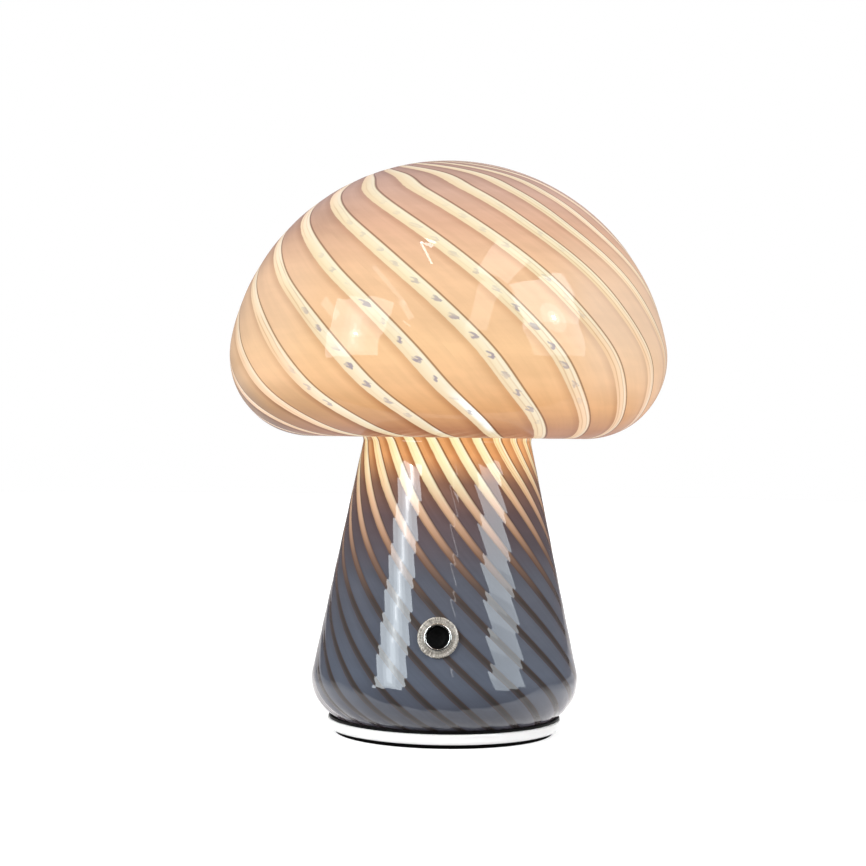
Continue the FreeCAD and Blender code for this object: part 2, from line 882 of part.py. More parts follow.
def make_switch_bezel():
    """The polished barrel with a rounded flange, bored for the button, its floor open for the plunger."""
    barrel = rod(bezel_radius, bezel_floor, bezel_face)
    flange = rod(bezel_flange_radius, grommet_face, bezel_face)
    flange = flange.makeFillet(
        bezel_flange_round, edges_at(flange, bezel_face, bezel_flange_radius)
    )
    bore = rod(bezel_bore, button_back - spring_room, bezel_face)
    plunger_hole = rod(plunger_radius + plunger_gap, bezel_floor, bezel_face)
    barrel = barrel.common(rod(bezel_radius, bezel_floor, grommet_face))
    return at_button(cut_all(fused([barrel, flange]), [bore, plunger_hole]))


def make_push_button():
    """The black button with a dished face and its plunger."""
    cap = rod(bezel_bore - button_gap, button_back, button_face)
    rim = bezel_bore - button_gap
    sag = button_dish_radius - math.sqrt(button_dish_radius**2 - rim**2)
    dish_middle = Vector(0, 0, button_face + button_dish_radius - sag)
    cap = cap.cut(Part.makeSphere(button_dish_radius, dish_middle))
    plunger = rod(plunger_radius, button_back - plunger_length, button_back)
    return at_button(fused([cap, plunger]))


def make_button_spring():
    """A compression spring between the button and the floor of the barrel's bore."""
    free = spring_room - spring_wire
    pitch = free / spring_turns
    helix = Part.makeHelix(pitch, free, spring_radius)
    start = Vector(spring_radius, 0, 0)
    section = Part.Wire(Part.makeCircle(spring_wire / 2, start, Vector(0, 1, 0)))
    coil = Part.Wire(helix).makePipeShell([section], True, True)
    coil.translate(Vector(0, 0, button_back - spring_room + spring_wire / 2))
    return at_button(coil)


def make_switch_washer():
    """A soft washer that fills the hollow between the nut and the inside of the glass."""
    disc = at_button(rod(washer_radius, nut_face, 0)).common(glass_inner())
    return disc.cut(at_button(rod(bezel_radius + grommet_gap, 2 * nut_face, 0)))


def make_switch_nut():
    corner = nut_flats / math.sqrt(3)
    points = [
        Vector(corner * math.cos(math.radians(a)), corner * math.sin(math.radians(a)), 0)
        for a in range(30, 391, 60)
    ]
    nut = Part.Face(Part.makePolygon(points)).extrude(Vector(0, 0, nut_thickness))
    nut.translate(Vector(0, 0, nut_face - nut_thickness))
    bore = rod(bezel_radius + grommet_gap, nut_face - nut_thickness, nut_face)
    return at_button(nut.cut(bore))


def make_switch_case():
    case = rod(case_radius, case_back, bezel_floor)
    plunger_end = button_back - plunger_length - button_travel - plunger_gap
    well = rod(plunger_radius + plunger_gap, plunger_end, bezel_floor)
    return at_button(case.cut(well))


def terminal_places():
    return [Vector(side * terminal_spacing / 2, 0, 0) for side in (-1, 1)]


def make_switch_terminals():
    blades = [
        block(
            terminal_thickness,
            terminal_width,
            terminal_length,
            Vector(p.x, p.y, case_back - terminal_length / 2),
        )
        for p in terminal_places()
    ]
    return at_button(Part.Compound(blades))


# ---------------------------------------------------------------- leads
def lead_sides():
    return (-lead_spacing / 2, lead_spacing / 2)


def make_switch_leads():
    """Two wires from the switch's terminals down to the control board."""
    wires = []
    for place in terminal_places():
        start = button_place() + button_axis() * (case_back - terminal_length)
        start = start + Vector(place.x, 0, 0)
        step = (start.y + switch_lead_offset) / button_axis().y
        corner = start + button_axis() * -step
        end = Vector(start.x, corner.y, board_top)
        wires.append(lead([start, corner, end], [switch_lead_bend]))
    return Part.Compound(wires)


def make_led_leads():
    """Two wires from the control board up the duct to the LED board."""
    level = led_board_top + lead_radius
    wires = []
    for side in lead_sides():
        start = Vector(side, wire_duct_offset, board_top)
        corner = Vector(side, wire_duct_offset, level)
        end = corner - Vector(0, led_pad_distance, 0)
        wires.append(lead([start, corner, end], [lead_bend]))
    return Part.Compound(wires)


def make_battery_leads():
    """The two wires from the control board to the cells' contact strips."""
    start = Vector(cell_spacing / 2, 0, board_top)
    end = Vector(cell_spacing / 2, 0, cell_bottom - contact_thickness)
    negative = lead([start, end], [])
    level = cell_top + cell_nub_height + contact_thickness + lead_radius
    foot = Vector(0, -wire_duct_offset, board_top)
    corner = Vector(0, -wire_duct_offset, level)
    tip = corner + Vector(0, positive_lead_run + wire_duct_offset - positive_lead_run, 0)
    positive = lead([foot, corner, tip], [lead_bend])
    return Part.Compound([negative, positive])


# ---------------------------------------------------------------- all sub-parts
SUBPARTS = {
    "glass_cap": make_glass_cap,
    "glass_stem": make_glass_stem,
    "glass_gasket": make_glass_gasket,
    "base_shell": make_base_shell,
    "foot_ring": make_foot_ring,
    "bottom_cover": make_bottom_cover,
    "cover_screws": make_cover_screws,
    "glass_clips": make_clips,
    "clip_screws": make_clip_screws,
    "column_tube": make_column,
    "column_screws": make_column_screws,
    "cell_holder": make_cell_holder,
    "battery_cells": make_battery_cells,
    "cell_contacts": make_cell_contacts,
    "heat_sink": make_heat_sink,
    "led_board": make_led_board,
    "led_board_screws": make_led_board_screws,
    "led_chips": make_led_chips,
    "light_dome": make_light_dome,
    "control_board": make_control_board,
    "board_screws": make_board_screws,
    "board_chips": make_board_chips,
    "choke_coil": make_choke_coil,
    "charge_socket": make_charge_socket,
    "switch_grommet": make_switch_grommet,
    "switch_bezel": make_switch_bezel,
    "push_button": make_push_button,
    "button_spring": make_button_spring,
    "switch_washer": make_switch_washer,
    "switch_nut": make_switch_nut,
    "switch_case": make_switch_case,
    "switch_terminals": make_switch_terminals,
    "switch_leads": make_switch_leads,
    "led_leads": make_led_leads,
    "battery_leads": make_battery_leads,
}


def main():
    os.makedirs("parts", exist_ok=True)
    for name, make in SUBPARTS.items():
        shape = make()
        print(f"{name}: {len(shape.Solids)} solids, valid {shape.isValid()}, {shape.Volume:.1f} mm3")
        shape.exportStep(f"parts/{name}.step")
    axis = button_axis()
    place = button_place()
    print(f"button at {place.x:.3f} {place.y:.3f} {place.z:.3f}, axis {axis.x:.5f} {axis.y:.5f} {axis.z:.5f}")


main()
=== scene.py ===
"""The dressed scene of a cordless mushroom table lamp in swirl glass.

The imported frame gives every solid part. This file makes the glass with its twisted stripes, the
push button's own parts and the studio, and gives every part of the frame a finish. Lengths are
written in millimetres and turned into metres where a mesh is made.
"""
import logging
import math
from dataclasses import dataclass, field
from enum import Enum
from typing import Any, Callable, Mapping, Sequence

import bmesh
import bpy
import numpy as np
from mathutils import Matrix, Vector


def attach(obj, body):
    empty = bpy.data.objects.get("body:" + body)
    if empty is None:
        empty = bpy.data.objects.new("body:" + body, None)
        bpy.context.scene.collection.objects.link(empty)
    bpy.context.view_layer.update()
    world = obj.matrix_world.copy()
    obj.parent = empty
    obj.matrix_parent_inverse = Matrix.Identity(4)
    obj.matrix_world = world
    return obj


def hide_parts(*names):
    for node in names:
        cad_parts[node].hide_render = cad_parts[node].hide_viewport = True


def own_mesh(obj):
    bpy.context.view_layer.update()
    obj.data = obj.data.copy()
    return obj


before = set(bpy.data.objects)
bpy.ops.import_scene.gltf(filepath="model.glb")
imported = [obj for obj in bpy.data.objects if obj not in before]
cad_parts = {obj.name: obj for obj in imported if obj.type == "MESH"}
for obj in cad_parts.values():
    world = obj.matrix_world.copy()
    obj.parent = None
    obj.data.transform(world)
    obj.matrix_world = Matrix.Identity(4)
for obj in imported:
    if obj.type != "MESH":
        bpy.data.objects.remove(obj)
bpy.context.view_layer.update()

MM = 0.001
FULL_TURN = 2.0 * math.pi
ORIGIN = (0.0, 0.0, 0.0)
# How near a point has to be to another, to a ring and to the axis to count as on it, in mm.
SAME_PLACE = 0.002
ON_RING = 0.03
ON_AXIS = 0.001
LOG = logging.getLogger("lamp")

Colour = tuple[float, float, float]
Span = tuple[float, float]
Table = tuple[Span, ...]
Tones = tuple[tuple[float, Colour], ...]


def tint(red: float, green: float, blue: float) -> tuple[float, float, float, float]:
    """Turns a colour as a screen shows it into the light values that a shader takes.

    Args:
        red: Red from 0 to 255.
        green: Green from 0 to 255.
        blue: Blue from 0 to 255.

    Returns:
        The four numbers of a shader colour.
    """
    def one(value: float) -> float:
        """Turns one channel by the rule of sRGB."""
        share = value / 255.0
        return share / 12.92 if share <= 0.04045 else ((share + 0.055) / 1.055) ** 2.4

    return one(red), one(green), one(blue), 1.0


def darker(colour: Colour, share: float) -> tuple[float, ...]:
    """Gives a screen colour as light values, times a share."""
    return *(channel * share for channel in tint(*colour)[:3]), 1.0


# ---------------------------------------------------------------- node bench
def operator(operation: str, turned: bool = False) -> Callable[..., "Flow"]:
    """Makes a method of Flow that adds one Math node.

    Args:
        operation: The Math node's operation.
        turned: Whether the flow itself comes after the other value.

    Returns:
        The method.
    """
    def method(flow: "Flow", *others: Any) -> "Flow":
        """Adds the node, with a number or a flow as its other input."""
        return flow.maths(operation, *((*others, flow) if turned else (flow, *others)))

    return method


class Flow:
    """A socket in a finish's node tree, on which ordinary arithmetic adds Math nodes."""

    def __init__(self, bench: "FinishBench", socket: bpy.types.NodeSocket) -> None:
        """Wraps an output socket of a bench's tree."""
        self.bench = bench
        self.socket = socket

    def maths(self, operation: str, *values: Any, clamp: bool = False) -> "Flow":
        """Adds one Math node. Its inputs are numbers or flows, and clamp holds it from 0 to 1."""
        settings = {"operation": operation, "use_clamp": clamp}
        return self.bench.node("ShaderNodeMath", settings, dict(enumerate(values)))

    __add__ = __radd__ = operator("ADD")
    __sub__, __rsub__ = operator("SUBTRACT"), operator("SUBTRACT", turned=True)
    __mul__ = __rmul__ = operator("MULTIPLY")
    __truediv__ = operator("DIVIDE")
    __abs__ = operator("ABSOLUTE")
    part_of_one, whole = operator("FRACT"), operator("FLOOR")
    wave, cosine, root = operator("SINE"), operator("COSINE"), operator("SQRT")
    most = operator("MAXIMUM")

    def __neg__(self) -> "Flow":
        """Changes the sign."""
        return self * -1.0

    def held(self) -> "Flow":
        """Holds the value between 0 and 1."""
        return self.maths("ADD", self, 0.0, clamp=True)

    def eased(self, start: float, end: float) -> "Flow":
        """Rises smoothly from 0 to 1.

        Args:
            start: The value that gives 0.
            end: The value that gives 1. It may be the smaller one.

        Returns:
            The eased share.
        """
        ends = (start, end, 0.0, 1.0) if start < end else (end, start, 1.0, 0.0)
        settings = {"interpolation_type": "SMOOTHSTEP"}
        return self.bench.node("ShaderNodeMapRange", settings, dict(enumerate((self, *ends))))


class FinishBench:
    """The node tree of one material or world, with one method that adds every kind of node."""

    def __init__(self, tree: bpy.types.NodeTree) -> None:
        """Empties a node tree and keeps it."""
        self.tree = tree
        tree.nodes.clear()

    def node(
        self,
        kind: str,
        settings: Mapping[str, Any] | None = None,
        inputs: Mapping[int | str, Any] | None = None,
        output: int | str = 0,
    ) -> Flow:
        """Adds a node.

        Args:
            kind: The node's type name.
            settings: Its properties, set first. "stops" gives a ramp's positions and colours.
            inputs: Its input sockets by number or name, with values or flows.
            output: The output socket that is given back, by number or name.

        Returns:
            The chosen output.
        """
        node = self.tree.nodes.new(kind)
        for name, value in (settings or {}).items():
            if name == "stops":
                self._set_stops(node.color_ramp, value)
            else:
                setattr(node, name, value)
        for place, value in (inputs or {}).items():
            self.feed(node.inputs[place], value)
        return Flow(self, node.outputs[output]) if node.outputs else None

    def feed(self, socket: bpy.types.NodeSocket, value: Any) -> None:
        """Sets or links one input socket.

        Args:
            socket: The input socket.
            value: A number, a tuple or a flow.
        """
        if isinstance(value, Flow):
            self.tree.links.new(value.socket, socket)
        else:
            socket.default_value = value

    @staticmethod
    def _set_stops(ramp: bpy.types.ColorRamp, stops: Sequence[tuple[float, Any]]) -> None:
        """Writes a colour ramp.

        Args:
            ramp: The ramp.
            stops: Positions from 0 to 1 with their colours.
        """
        while len(ramp.elements) > 1:
            ramp.elements.remove(ramp.elements[-1])
        ramp.elements[0].position, ramp.elements[0].color = stops[0]
        for place, colour in stops[1:]:
            ramp.elements.new(place).color = colour

    def mixed(self, share: Any, first: Any, second: Any, blend: str = "MIX") -> Flow:
        """Mixes a share of the second colour into the first one, in a Mix node's blend type."""
        settings = {"data_type": "RGBA", "blend_type": blend}
        return self.node("ShaderNodeMix", settings, {0: share, 6: first, 7: second}, output=2)

    def times(self, first: Flow, second: Any) -> Flow:
        """Multiplies two colours. The second may be a plain factor for red, green and blue."""
        factor = second if isinstance(second, Flow) else (*second, 1.0)
        return self.mixed(1.0, first, factor, "MULTIPLY")

    def toned(self, share: Any, colour: Flow, factor: Colour) -> Flow:
        """Multiplies a share of a colour by a factor for red, green and blue."""
        return self.mixed(share, colour, self.times(colour, factor))

    def level(self, colour: Flow) -> Flow:
        """Reads a grey colour as one number."""
        return self.node("ShaderNodeSeparateColor", None, {0: colour})

    def noise(
        self, where: Flow, scale: float = 1.0, detail: float = 3.0, rough: float = 0.5
    ) -> Flow:
        """Adds noise from 0 to 1 with that many finer layers, which are as strong as rough says."""
        inputs = {"Vector": where, "Scale": scale, "Detail": detail, "Roughness": rough}
        return self.node("ShaderNodeTexNoise", None, inputs)

    def noise_at(
        self, x: Any, y: Any, z: Any, detail: float = 3.0, rough: float = 0.5
    ) -> Flow:
        """Adds noise at a place that is given as three numbers."""
        return self.noise(self.joined(x, y, z), 1.0, detail, rough)

    def object_place(self) -> Flow:
        """Gives the place on the object, in metres."""
        return self.node("ShaderNodeTexCoord", output="Object")

    def own_map(self, name: str) -> Flow:
        """Gives the coordinates of one of the piece's own maps."""
        return self.node("ShaderNodeUVMap", {"uv_map": name})

    def stretched(self, where: Flow, scale: Colour) -> Flow:
        """Scales coordinates by a factor along each axis."""
        return self.node("ShaderNodeVectorMath", {"operation": "MULTIPLY"}, {0: where, 1: scale})

    def split(self, where: Flow) -> tuple[Flow, Flow, Flow]:
        """Splits coordinates into X, Y and Z."""
        first = self.node("ShaderNodeSeparateXYZ", None, {0: where})
        outputs = first.socket.node.outputs
        return first, Flow(self, outputs[1]), Flow(self, outputs[2])

    def joined(self, x: Any, y: Any, z: Any) -> Flow:
        """Joins three numbers into coordinates."""
        return self.node("ShaderNodeCombineXYZ", None, {0: x, 1: y, 2: z})

    def bumped(self, height: Flow, depth: float) -> Flow:
        """Turns a height from 0 to 1 into a normal. The depth that 1 stands for is in metres."""
        inputs = {"Height": height, "Distance": depth, "Strength": 1.0}
        return self.node("ShaderNodeBump", None, inputs)

    def surface(self, **inputs: Any) -> None:
        """Adds the main shader and the output.

        Args:
            **inputs: The shader's sockets, with an underscore for each space.
        """
        named = {name.replace("_", " "): value for name, value in inputs.items()}
        shader = self.node("ShaderNodeBsdfPrincipled", None, named)
        self.node("ShaderNodeOutputMaterial", None, {"Surface": shader})


# ---------------------------------------------------------------- finishes
@dataclass(frozen=True)
class Finish:
    """A named finish that can be made into a material."""

    name: str

    def make(self) -> bpy.types.Material:
        """Makes the material with its node tree.

        Returns:
            The material.
        """
        material = bpy.data.materials.new(self.name)
        material.use_nodes = True
        self.lay(FinishBench(material.node_tree))
        return material

    def lay(self, bench: FinishBench) -> None:
        """Builds the node tree.

        Args:
            bench: The bench that holds the tree.
        """
        raise NotImplementedError


class Grain(Enum):
    """How the surface of a moulded or cast part is textured."""

    POLISHED = (900.0, 0.000004)
    SATIN = (2600.0, 0.000012)
    SPARKED = (4200.0, 0.00003)
    CAST = (1500.0, 0.00006)


@dataclass(frozen=True)
class Moulded(Finish):
    """Moulded plastic or rubber with faint mottling and a fine grain."""

    colour: Colour
    roughness: float = 0.4
    grain: Grain = Grain.SATIN
    mottle: float = 0.05
    coat: float = 0.0
    specular: float = 0.5

    def lay(self, bench: FinishBench) -> None:
        """Builds the node tree.

        Args:
            bench: The bench that holds the tree.
        """
        scale, depth = self.grain.value
        where = bench.object_place()
        cloud = bench.noise(where, 90.0, 4.0, 0.55)
        grain = bench.noise(where, scale, 2.0)
        dark = darker(self.colour, 1.0 - self.mottle)
        bench.surface(
            Base_Color=bench.mixed(cloud.eased(0.35, 0.65), dark, tint(*self.colour)),
            Roughness=(cloud - 0.5) * 0.12 + grain * 0.06 + (self.roughness - 0.03),
            Normal=bench.bumped(grain, depth),
            Specular_IOR_Level=self.specular,
            Coat_Weight=self.coat,
            Coat_Roughness=0.06,
        )


@dataclass(frozen=True)
class Metal(Finish):
    """Metal with brushed or rolled streaks."""

    colour: Colour
    roughness: float = 0.3
    streaks: Colour = (1500.0, 1500.0, 60.0)
    dullness: float = 0.82
    depth: float = 0.000004

    def lay(self, bench: FinishBench) -> None:
        """Builds the node tree.

        Args:
            bench: The bench that holds the tree.
        """
        where = bench.object_place()
        streak = bench.noise(bench.stretched(where, self.streaks), 1.0, 3.0, 0.6)
        cloud = bench.noise(where, 120.0, 3.0)
        dull = darker(self.colour, self.dullness)
        bench.surface(
            Base_Color=bench.mixed(cloud.eased(0.3, 0.7), dull, tint(*self.colour)),
            Metallic=1.0,
            Roughness=streak * 0.16 + cloud * 0.08 + (self.roughness - 0.12),
            Normal=bench.bumped(streak, self.depth),
        )


@dataclass(frozen=True)
class CircuitBoard(Finish):
    """A circuit board's solder mask over copper traces."""

    mask: Colour = (20, 82, 48)
    trace: Colour = (36, 118, 66)
    traces_per_metre: float = 900.0
    rows_per_metre: float = 420.0
    wander: float = 0.004

    def lay(self, bench: FinishBench) -> None:
        """Builds the node tree.

        Args:
            bench: The bench that holds the tree.
        """
        where = bench.object_place()
        x, y, _ = bench.split(where)
        wander = bench.noise(where, 160.0, 1.0) * self.wander
        lines = ((x + wander) * self.traces_per_metre).part_of_one() - 0.5
        rows = ((y + wander) * self.rows_per_metre).part_of_one() - 0.5
        copper = abs(lines).eased(0.2, 0.14) * abs(rows).eased(0.1, 0.3)
        weave = bench.noise(bench.stretched(where, (2600.0, 2600.0, 200.0)), 1.0, 2.0)
        bench.surface(
            Base_Color=bench.mixed(copper, tint(*self.mask), tint(*self.trace)),
            Roughness=weave * 0.14 + 0.24,
            Normal=bench.bumped(copper * 0.7 + weave * 0.3, 0.00003),
        )


@dataclass(frozen=True)
class Opal(Finish):
    """An opal diffuser that glows."""

    colour: Colour
    glow: Colour
    strength: float
    shade: Colour = (226, 214, 196)
    dimness: float = 0.86

    def lay(self, bench: FinishBench) -> None:
        """Builds the node tree.

        Args:
            bench: The bench that holds the tree.
        """
        where = bench.object_place()
        cloud = bench.noise(where, 70.0, 4.0)
        dim = darker(self.glow, self.dimness)
        bench.surface(
            Base_Color=bench.mixed(cloud * 0.2, tint(*self.colour), tint(*self.shade)),
            Emission_Color=bench.mixed(cloud.eased(0.3, 0.7), dim, tint(*self.glow)),
            Emission_Strength=self.strength,
            Roughness=cloud * 0.1 + 0.45,
            Normal=bench.bumped(bench.noise(where, 1800.0, 2.0), 0.00001),
        )


@dataclass(frozen=True)
class RingSilicone(Finish):
    """The clear, slightly cloudy ring round the button, with radial marks, a faint pale speckle and
    painted glints on its rim.

    Its coordinates are the piece's own map: the angle from 0 to 1, and the radius in centimetres.
    """

    body: Colour = (186, 180, 169)
    light: Colour = (236, 232, 222)
    dark: Colour = (96, 92, 86)
    rim: Span = (0.76, 0.81)
    groove_at: float = 0.655
    groove: Span = (0.03, 0.008)
    ray_size: Colour = (26.0, 26.0, 3.0)
    fleck_size: Colour = (9.0, 9.0, 28.0)
    depth: float = 0.00016

    def lay(self, bench: FinishBench) -> None:
        """Builds the node tree.

        Args:
            bench: The bench that holds the tree.
        """
        around, out, _ = bench.split(bench.own_map("turned"))
        angle = around * FULL_TURN
        where = bench.joined(angle.cosine(), angle.wave(), out)
        rays = bench.noise(bench.stretched(where, self.ray_size), detail=2.0)
        fleck = bench.noise(bench.stretched(where, self.fleck_size), rough=0.7)
        rim = out.eased(*self.rim)
        groove = abs(out - self.groove_at).eased(*self.groove)
        tone = bench.mixed(rays.eased(0.3, 0.7) * 0.7, tint(*self.dark), tint(*self.body))
        # Pale flecks: a faint speckle all over, and painted glints where the rim catches light.
        tone = bench.mixed(fleck.eased(0.5, 0.68) * (rim * 0.8 + 0.2), tone, tint(*self.light))
        tone = bench.mixed(groove * 0.5, tone, tint(*self.dark))
        bench.surface(
            Base_Color=tone,
            Roughness=fleck * 0.3 + 0.12,
            Normal=bench.bumped(rays * 0.5 + fleck * 0.5, self.depth),
            Coat_Weight=0.6,
            Coat_Roughness=0.12,
            IOR=1.41,
        )


@dataclass(frozen=True)
class TurnedMetal(Finish):
    """Polished metal with faint turning marks that run round the piece."""

    colour: Colour = (232, 230, 226)
    smeared: Colour = (196, 194, 190)
    roughness: float = 0.07

    def lay(self, bench: FinishBench) -> None:
        """Builds the node tree.

        Args:
            bench: The bench that holds the tree.
        """
        around, out, _ = bench.split(bench.own_map("turned"))
        marks = bench.noise_at(around * 3.0, out * 190.0, 0.0)
        smear = bench.noise_at(around * 9.0, out * 9.0, 0.0)
        bench.surface(
            Base_Color=bench.mixed(smear.eased(0.35, 0.7), tint(*self.colour), tint(*self.smeared)),
            Metallic=1.0,
            Roughness=smear * 0.08 + marks * 0.03 + (self.roughness - 0.05),
            Normal=bench.bumped(marks, 0.000002),
        )


@dataclass(frozen=True)
class MatteButton(Finish):
    """Black moulded plastic with a fine grain and faint rings from its mould."""

    colour: Colour = (1, 1, 1)
    worn: Colour = (5, 4, 4)
    ring_pitch: float = 260.0

    def lay(self, bench: FinishBench) -> None:
        """Builds the node tree.

        Args:
            bench: The bench that holds the tree.
        """
        around, out, _ = bench.split(bench.own_map("turned"))
        rings = (out * self.ring_pitch).wave() * 0.5 + 0.5
        grain = bench.noise(bench.object_place(), 5200.0, 2.0)
        wear = bench.noise_at(around * 6.0, out * 6.0, 0.0)
        bench.surface(
            Base_Color=bench.mixed(wear.eased(0.4, 0.7), tint(*self.colour), tint(*self.worn)),
            Roughness=grain * 0.14 + wear * 0.1 + 0.42,
            Normal=bench.bumped(grain * 0.8 + rings * 0.2, 0.00002),
            Specular_IOR_Level=0.04,
        )


@dataclass(frozen=True)
class GlassPlace:
    """Where a point of the glass is. x, y and z are in metres, other lengths in millimetres.

    ahead and leftward are the shares of its way from the lamp's axis that lead to the front or
    back and to the left. front is 1 where the glass faces the front or the back. counted is the
    number of stripes round the lamp up to the point, number that of the nearest stripe. down is
    the share of the profile's length, along the same in millimetres. across is the place in the
    nearest stripe, -1 at its left edge and 1 at its right one. past_left and past_right are the
    ways past these edges, and ragged is their small wander. glow is the glass's own light, and
    lit the same as one number.
    """

    x: Flow
    y: Flow
    z: Flow
    ahead: Flow
    leftward: Flow
    front: Flow
    counted: Flow
    number: Flow
    down: Flow
    along: Flow
    across: Flow
    past_left: Flow
    past_right: Flow
    ragged: Flow
    glow: Flow
    lit: Flow


@dataclass(frozen=True)
class SwirlGlass(Finish):
    """Opal swirl glass with clear cream stripes, lit from inside above the neck.

    Its coordinates are the glass's own map: stripes counted round the lamp over the number of
    stripes, and the way down the profile from the pole over the outer length. All places along
    the profile are in millimetres. Factors multiply red, green and blue.
    """

    stripes: int
    length: float
    stripe_edge: float
    band: Tones = (
        (0, (182, 148, 136)), (40, (188, 153, 138)), (62, (220, 180, 160)), (85, (231, 185, 155)),
        (110, (246, 203, 162)), (140, (250, 206, 158)), (154, (247, 199, 150)),
        (166, (235, 180, 128)), (181, (196, 138, 99)), (192, (188, 128, 88)),
        (217, (236, 172, 110)), (228, (231, 166, 110)), (240, (147, 109, 91)),
        (254, (112, 94, 96)), (280, (97, 101, 113)), (322, (96, 104, 119)), (346, (93, 96, 109)),
    )
    stripe: Tones = (
        (0, (250, 227, 197)), (112, (255, 242, 206)), (166, (255, 238, 208)),
        (200, (253, 232, 186)), (222, (255, 251, 200)), (236, (255, 246, 203)),
        (250, (238, 200, 167)), (262, (200, 161, 133)), (272, (144, 116, 100)),
        (290, (79, 71, 67)), (346, (65, 62, 61)),
    )
    own_light: Table = (
        (0, 0.62), (60, 0.62), (140, 0.68), (190, 0.68), (206, 0.76), (218, 0.86), (230, 0.86),
        (240, 0.5), (252, 0.2), (266, 0.0),
    )
    paint: Table = (
        (0, 0.22), (110, 0.22), (130, 0.19), (150, 0.26), (166, 0.32), (190, 0.3), (230, 0.28),
        (240, 0.45), (252, 0.57), (266, 0.65), (346, 0.65),
    )
    coat: Table = ((0, 0.4), (120, 0.4), (205, 0.45), (226, 0.8), (240, 1.0), (346, 1.0))
    mark_strength: Table = (
        (0, 0.0), (58, 0.0), (84, 0.22), (108, 0.42), (124, 0.85), (150, 1.0), (166, 0.75),
        (178, 0.0),
    )
    mark_pitch: float = 7.6
    mark_colour: Colour = (152, 140, 158)
    slant: float = 5.1
    pale: Colour = (1.05, 1.045, 1.04)
    deep: Colour = (0.95, 0.94, 0.93)
    # Painted light and shade: the brown edge shadow, the paler sheen and darker shade of the sides,
    # the stem's lighter sides, the sides' paler and browner cream, and the white glint.
    shadow_brown: Colour = (0.62, 0.5, 0.42)
    under_rim: Span = (0.157, 0.139)
    shadow_low_left: Span = (0.04, -0.02)
    painted_sheen: Colour = (255, 236, 222)
    painted_sheen_from: Span = (80.0, 125.0)
    painted_sheen_to: Span = (170.0, 132.0)
    dim: Colour = (0.4, 0.44, 0.48)
    painted_side_light: Colour = (1.3, 1.28, 1.26)
    lit_side_cream: Colour = (1.18, 1.13, 1.2)
    shaded_side_cream: Colour = (1.04, 0.88, 0.82)
    warm: Colour = (0.93, 0.83, 0.72)
    sheer: Colour = (255, 248, 228)
    glint: Colour = (1.25, 1.3, 1.28)
    glint_at: float = 0.011
    amber: Colour = (0.74, 0.6, 0.46)
    rust: Colour = (94, 74, 66)
    line: Colour = (0.24, 0.16, 0.13)
    line_at: float = 0.18
    ripple_size: Colour = (46.0, 46.0, 30.0)
    ripple_depth: float = 0.00018
    bloom: Colour = (176, 158, 164)

    def _ramp(self, bench: FinishBench, share: Flow, table: Table | Tones) -> Flow:
        """Adds a ramp down the profile.

        Args:
            bench: The bench that holds the tree.
            share: The share of the profile's length.
            table: Places in millimetres, each with a colour or a number.

        Returns:
            The ramp's colour.
        """
        stops = []
        for place, value in table:
            colour = tint(*value) if isinstance(value, tuple) else (value, value, value, 1.0)
            stops.append((min(place / self.length, 1.0), colour))
        return bench.node("ShaderNodeValToRGB", {"stops": stops}, {0: share})

    def _locate(self, bench: FinishBench) -> GlassPlace:
        """Works out where a point of the glass is.

        Args:
            bench: The bench that holds the tree.

        Returns:
            The place.
        """
        share, down, _ = bench.split(bench.own_map("swirl"))
        x, y, z = bench.split(bench.object_place())
        radius = (x * x + y * y).root() * (1.0 / MM)
        far = radius * MM + 0.0001
        ahead = abs(y) / far
        counted = share * float(self.stripes)
        offset = (counted + 0.5).part_of_one() - 0.5
        number = (counted + 0.5).whole()
        along = down * self.length
        ragged = (bench.noise_at(number, along * 0.35, 0.0) - 0.5) * 0.5
        glow = self._ramp(bench, down, self.own_light)
        return GlassPlace(
            x, y, z, ahead, -x / far, ahead.eased(0.72, 0.9), counted, number, down, along,
            offset / self.stripe_edge, (-offset - self.stripe_edge) * (radius / self.slant),
            (offset - self.stripe_edge) * (radius / self.slant), ragged, glow, bench.level(glow),
        )

    def _bands(self, bench: FinishBench, at: GlassPlace) -> Flow:
        """Colours the broad bands: cloudy streaks, a painted brown shadow on the left edge, and
        painted sheen and shade on the sides.

        Args:
            bench: The bench that holds the tree.
            at: The place on the glass.

        Returns:
            The colour.
        """
        cloud = bench.noise_at(at.counted * 0.55, at.along * 0.11, 0.0, 4.0, 0.55)
        streak = bench.noise_at(at.counted * 7.0, at.along * 0.035, 0.0, rough=0.6)
        band = self._ramp(bench, at.down, self.band)
        streaked = (cloud * 0.6 + streak * 0.4).eased(0.36, 0.64)
        band = bench.mixed(streaked, bench.times(band, self.deep), bench.times(band, self.pale))

        # A painted brown shadow along the left edge of each band, stronger low on the left.
        low = at.z.eased(*self.under_rim)
        shade = (at.past_left.eased(3.4, 0.0) * at.past_left.eased(-0.3, 0.1)) * 0.62
        shade = shade * (at.lit * 0.8 + 0.2) * (low * at.x.eased(*self.shadow_low_left) * 0.9 + 1.0)
        band = bench.toned(shade, band, self.shadow_brown)

        # Painted sheen: the sides of the cap are paler.
        side = 1.0 - at.front
        painted_sheen = side * at.along.eased(*self.painted_sheen_from) * at.along.eased(*self.painted_sheen_to)
        painted_sheen = painted_sheen * (at.x.eased(-0.04, 0.04) * 0.2 + 0.12)
        band = bench.mixed(painted_sheen, band, tint(*self.painted_sheen))
        # Painted shade: the cap's left is darker, most of all under the rim and along its left
        # edge.
        left = -at.x
        dim = low * left.eased(0.0, 0.082) * 0.6
        dim = dim + at.z.eased(0.195, 0.22) * left.eased(0.02, 0.055) * 0.32
        rim = at.leftward.eased(0.8, 0.95) * (at.z.eased(0.172, 0.146) * 0.3 + 0.2)
        dim = dim + rim * at.along.eased(250.0, 210.0)
        band = bench.toned(dim, band, self.dim)
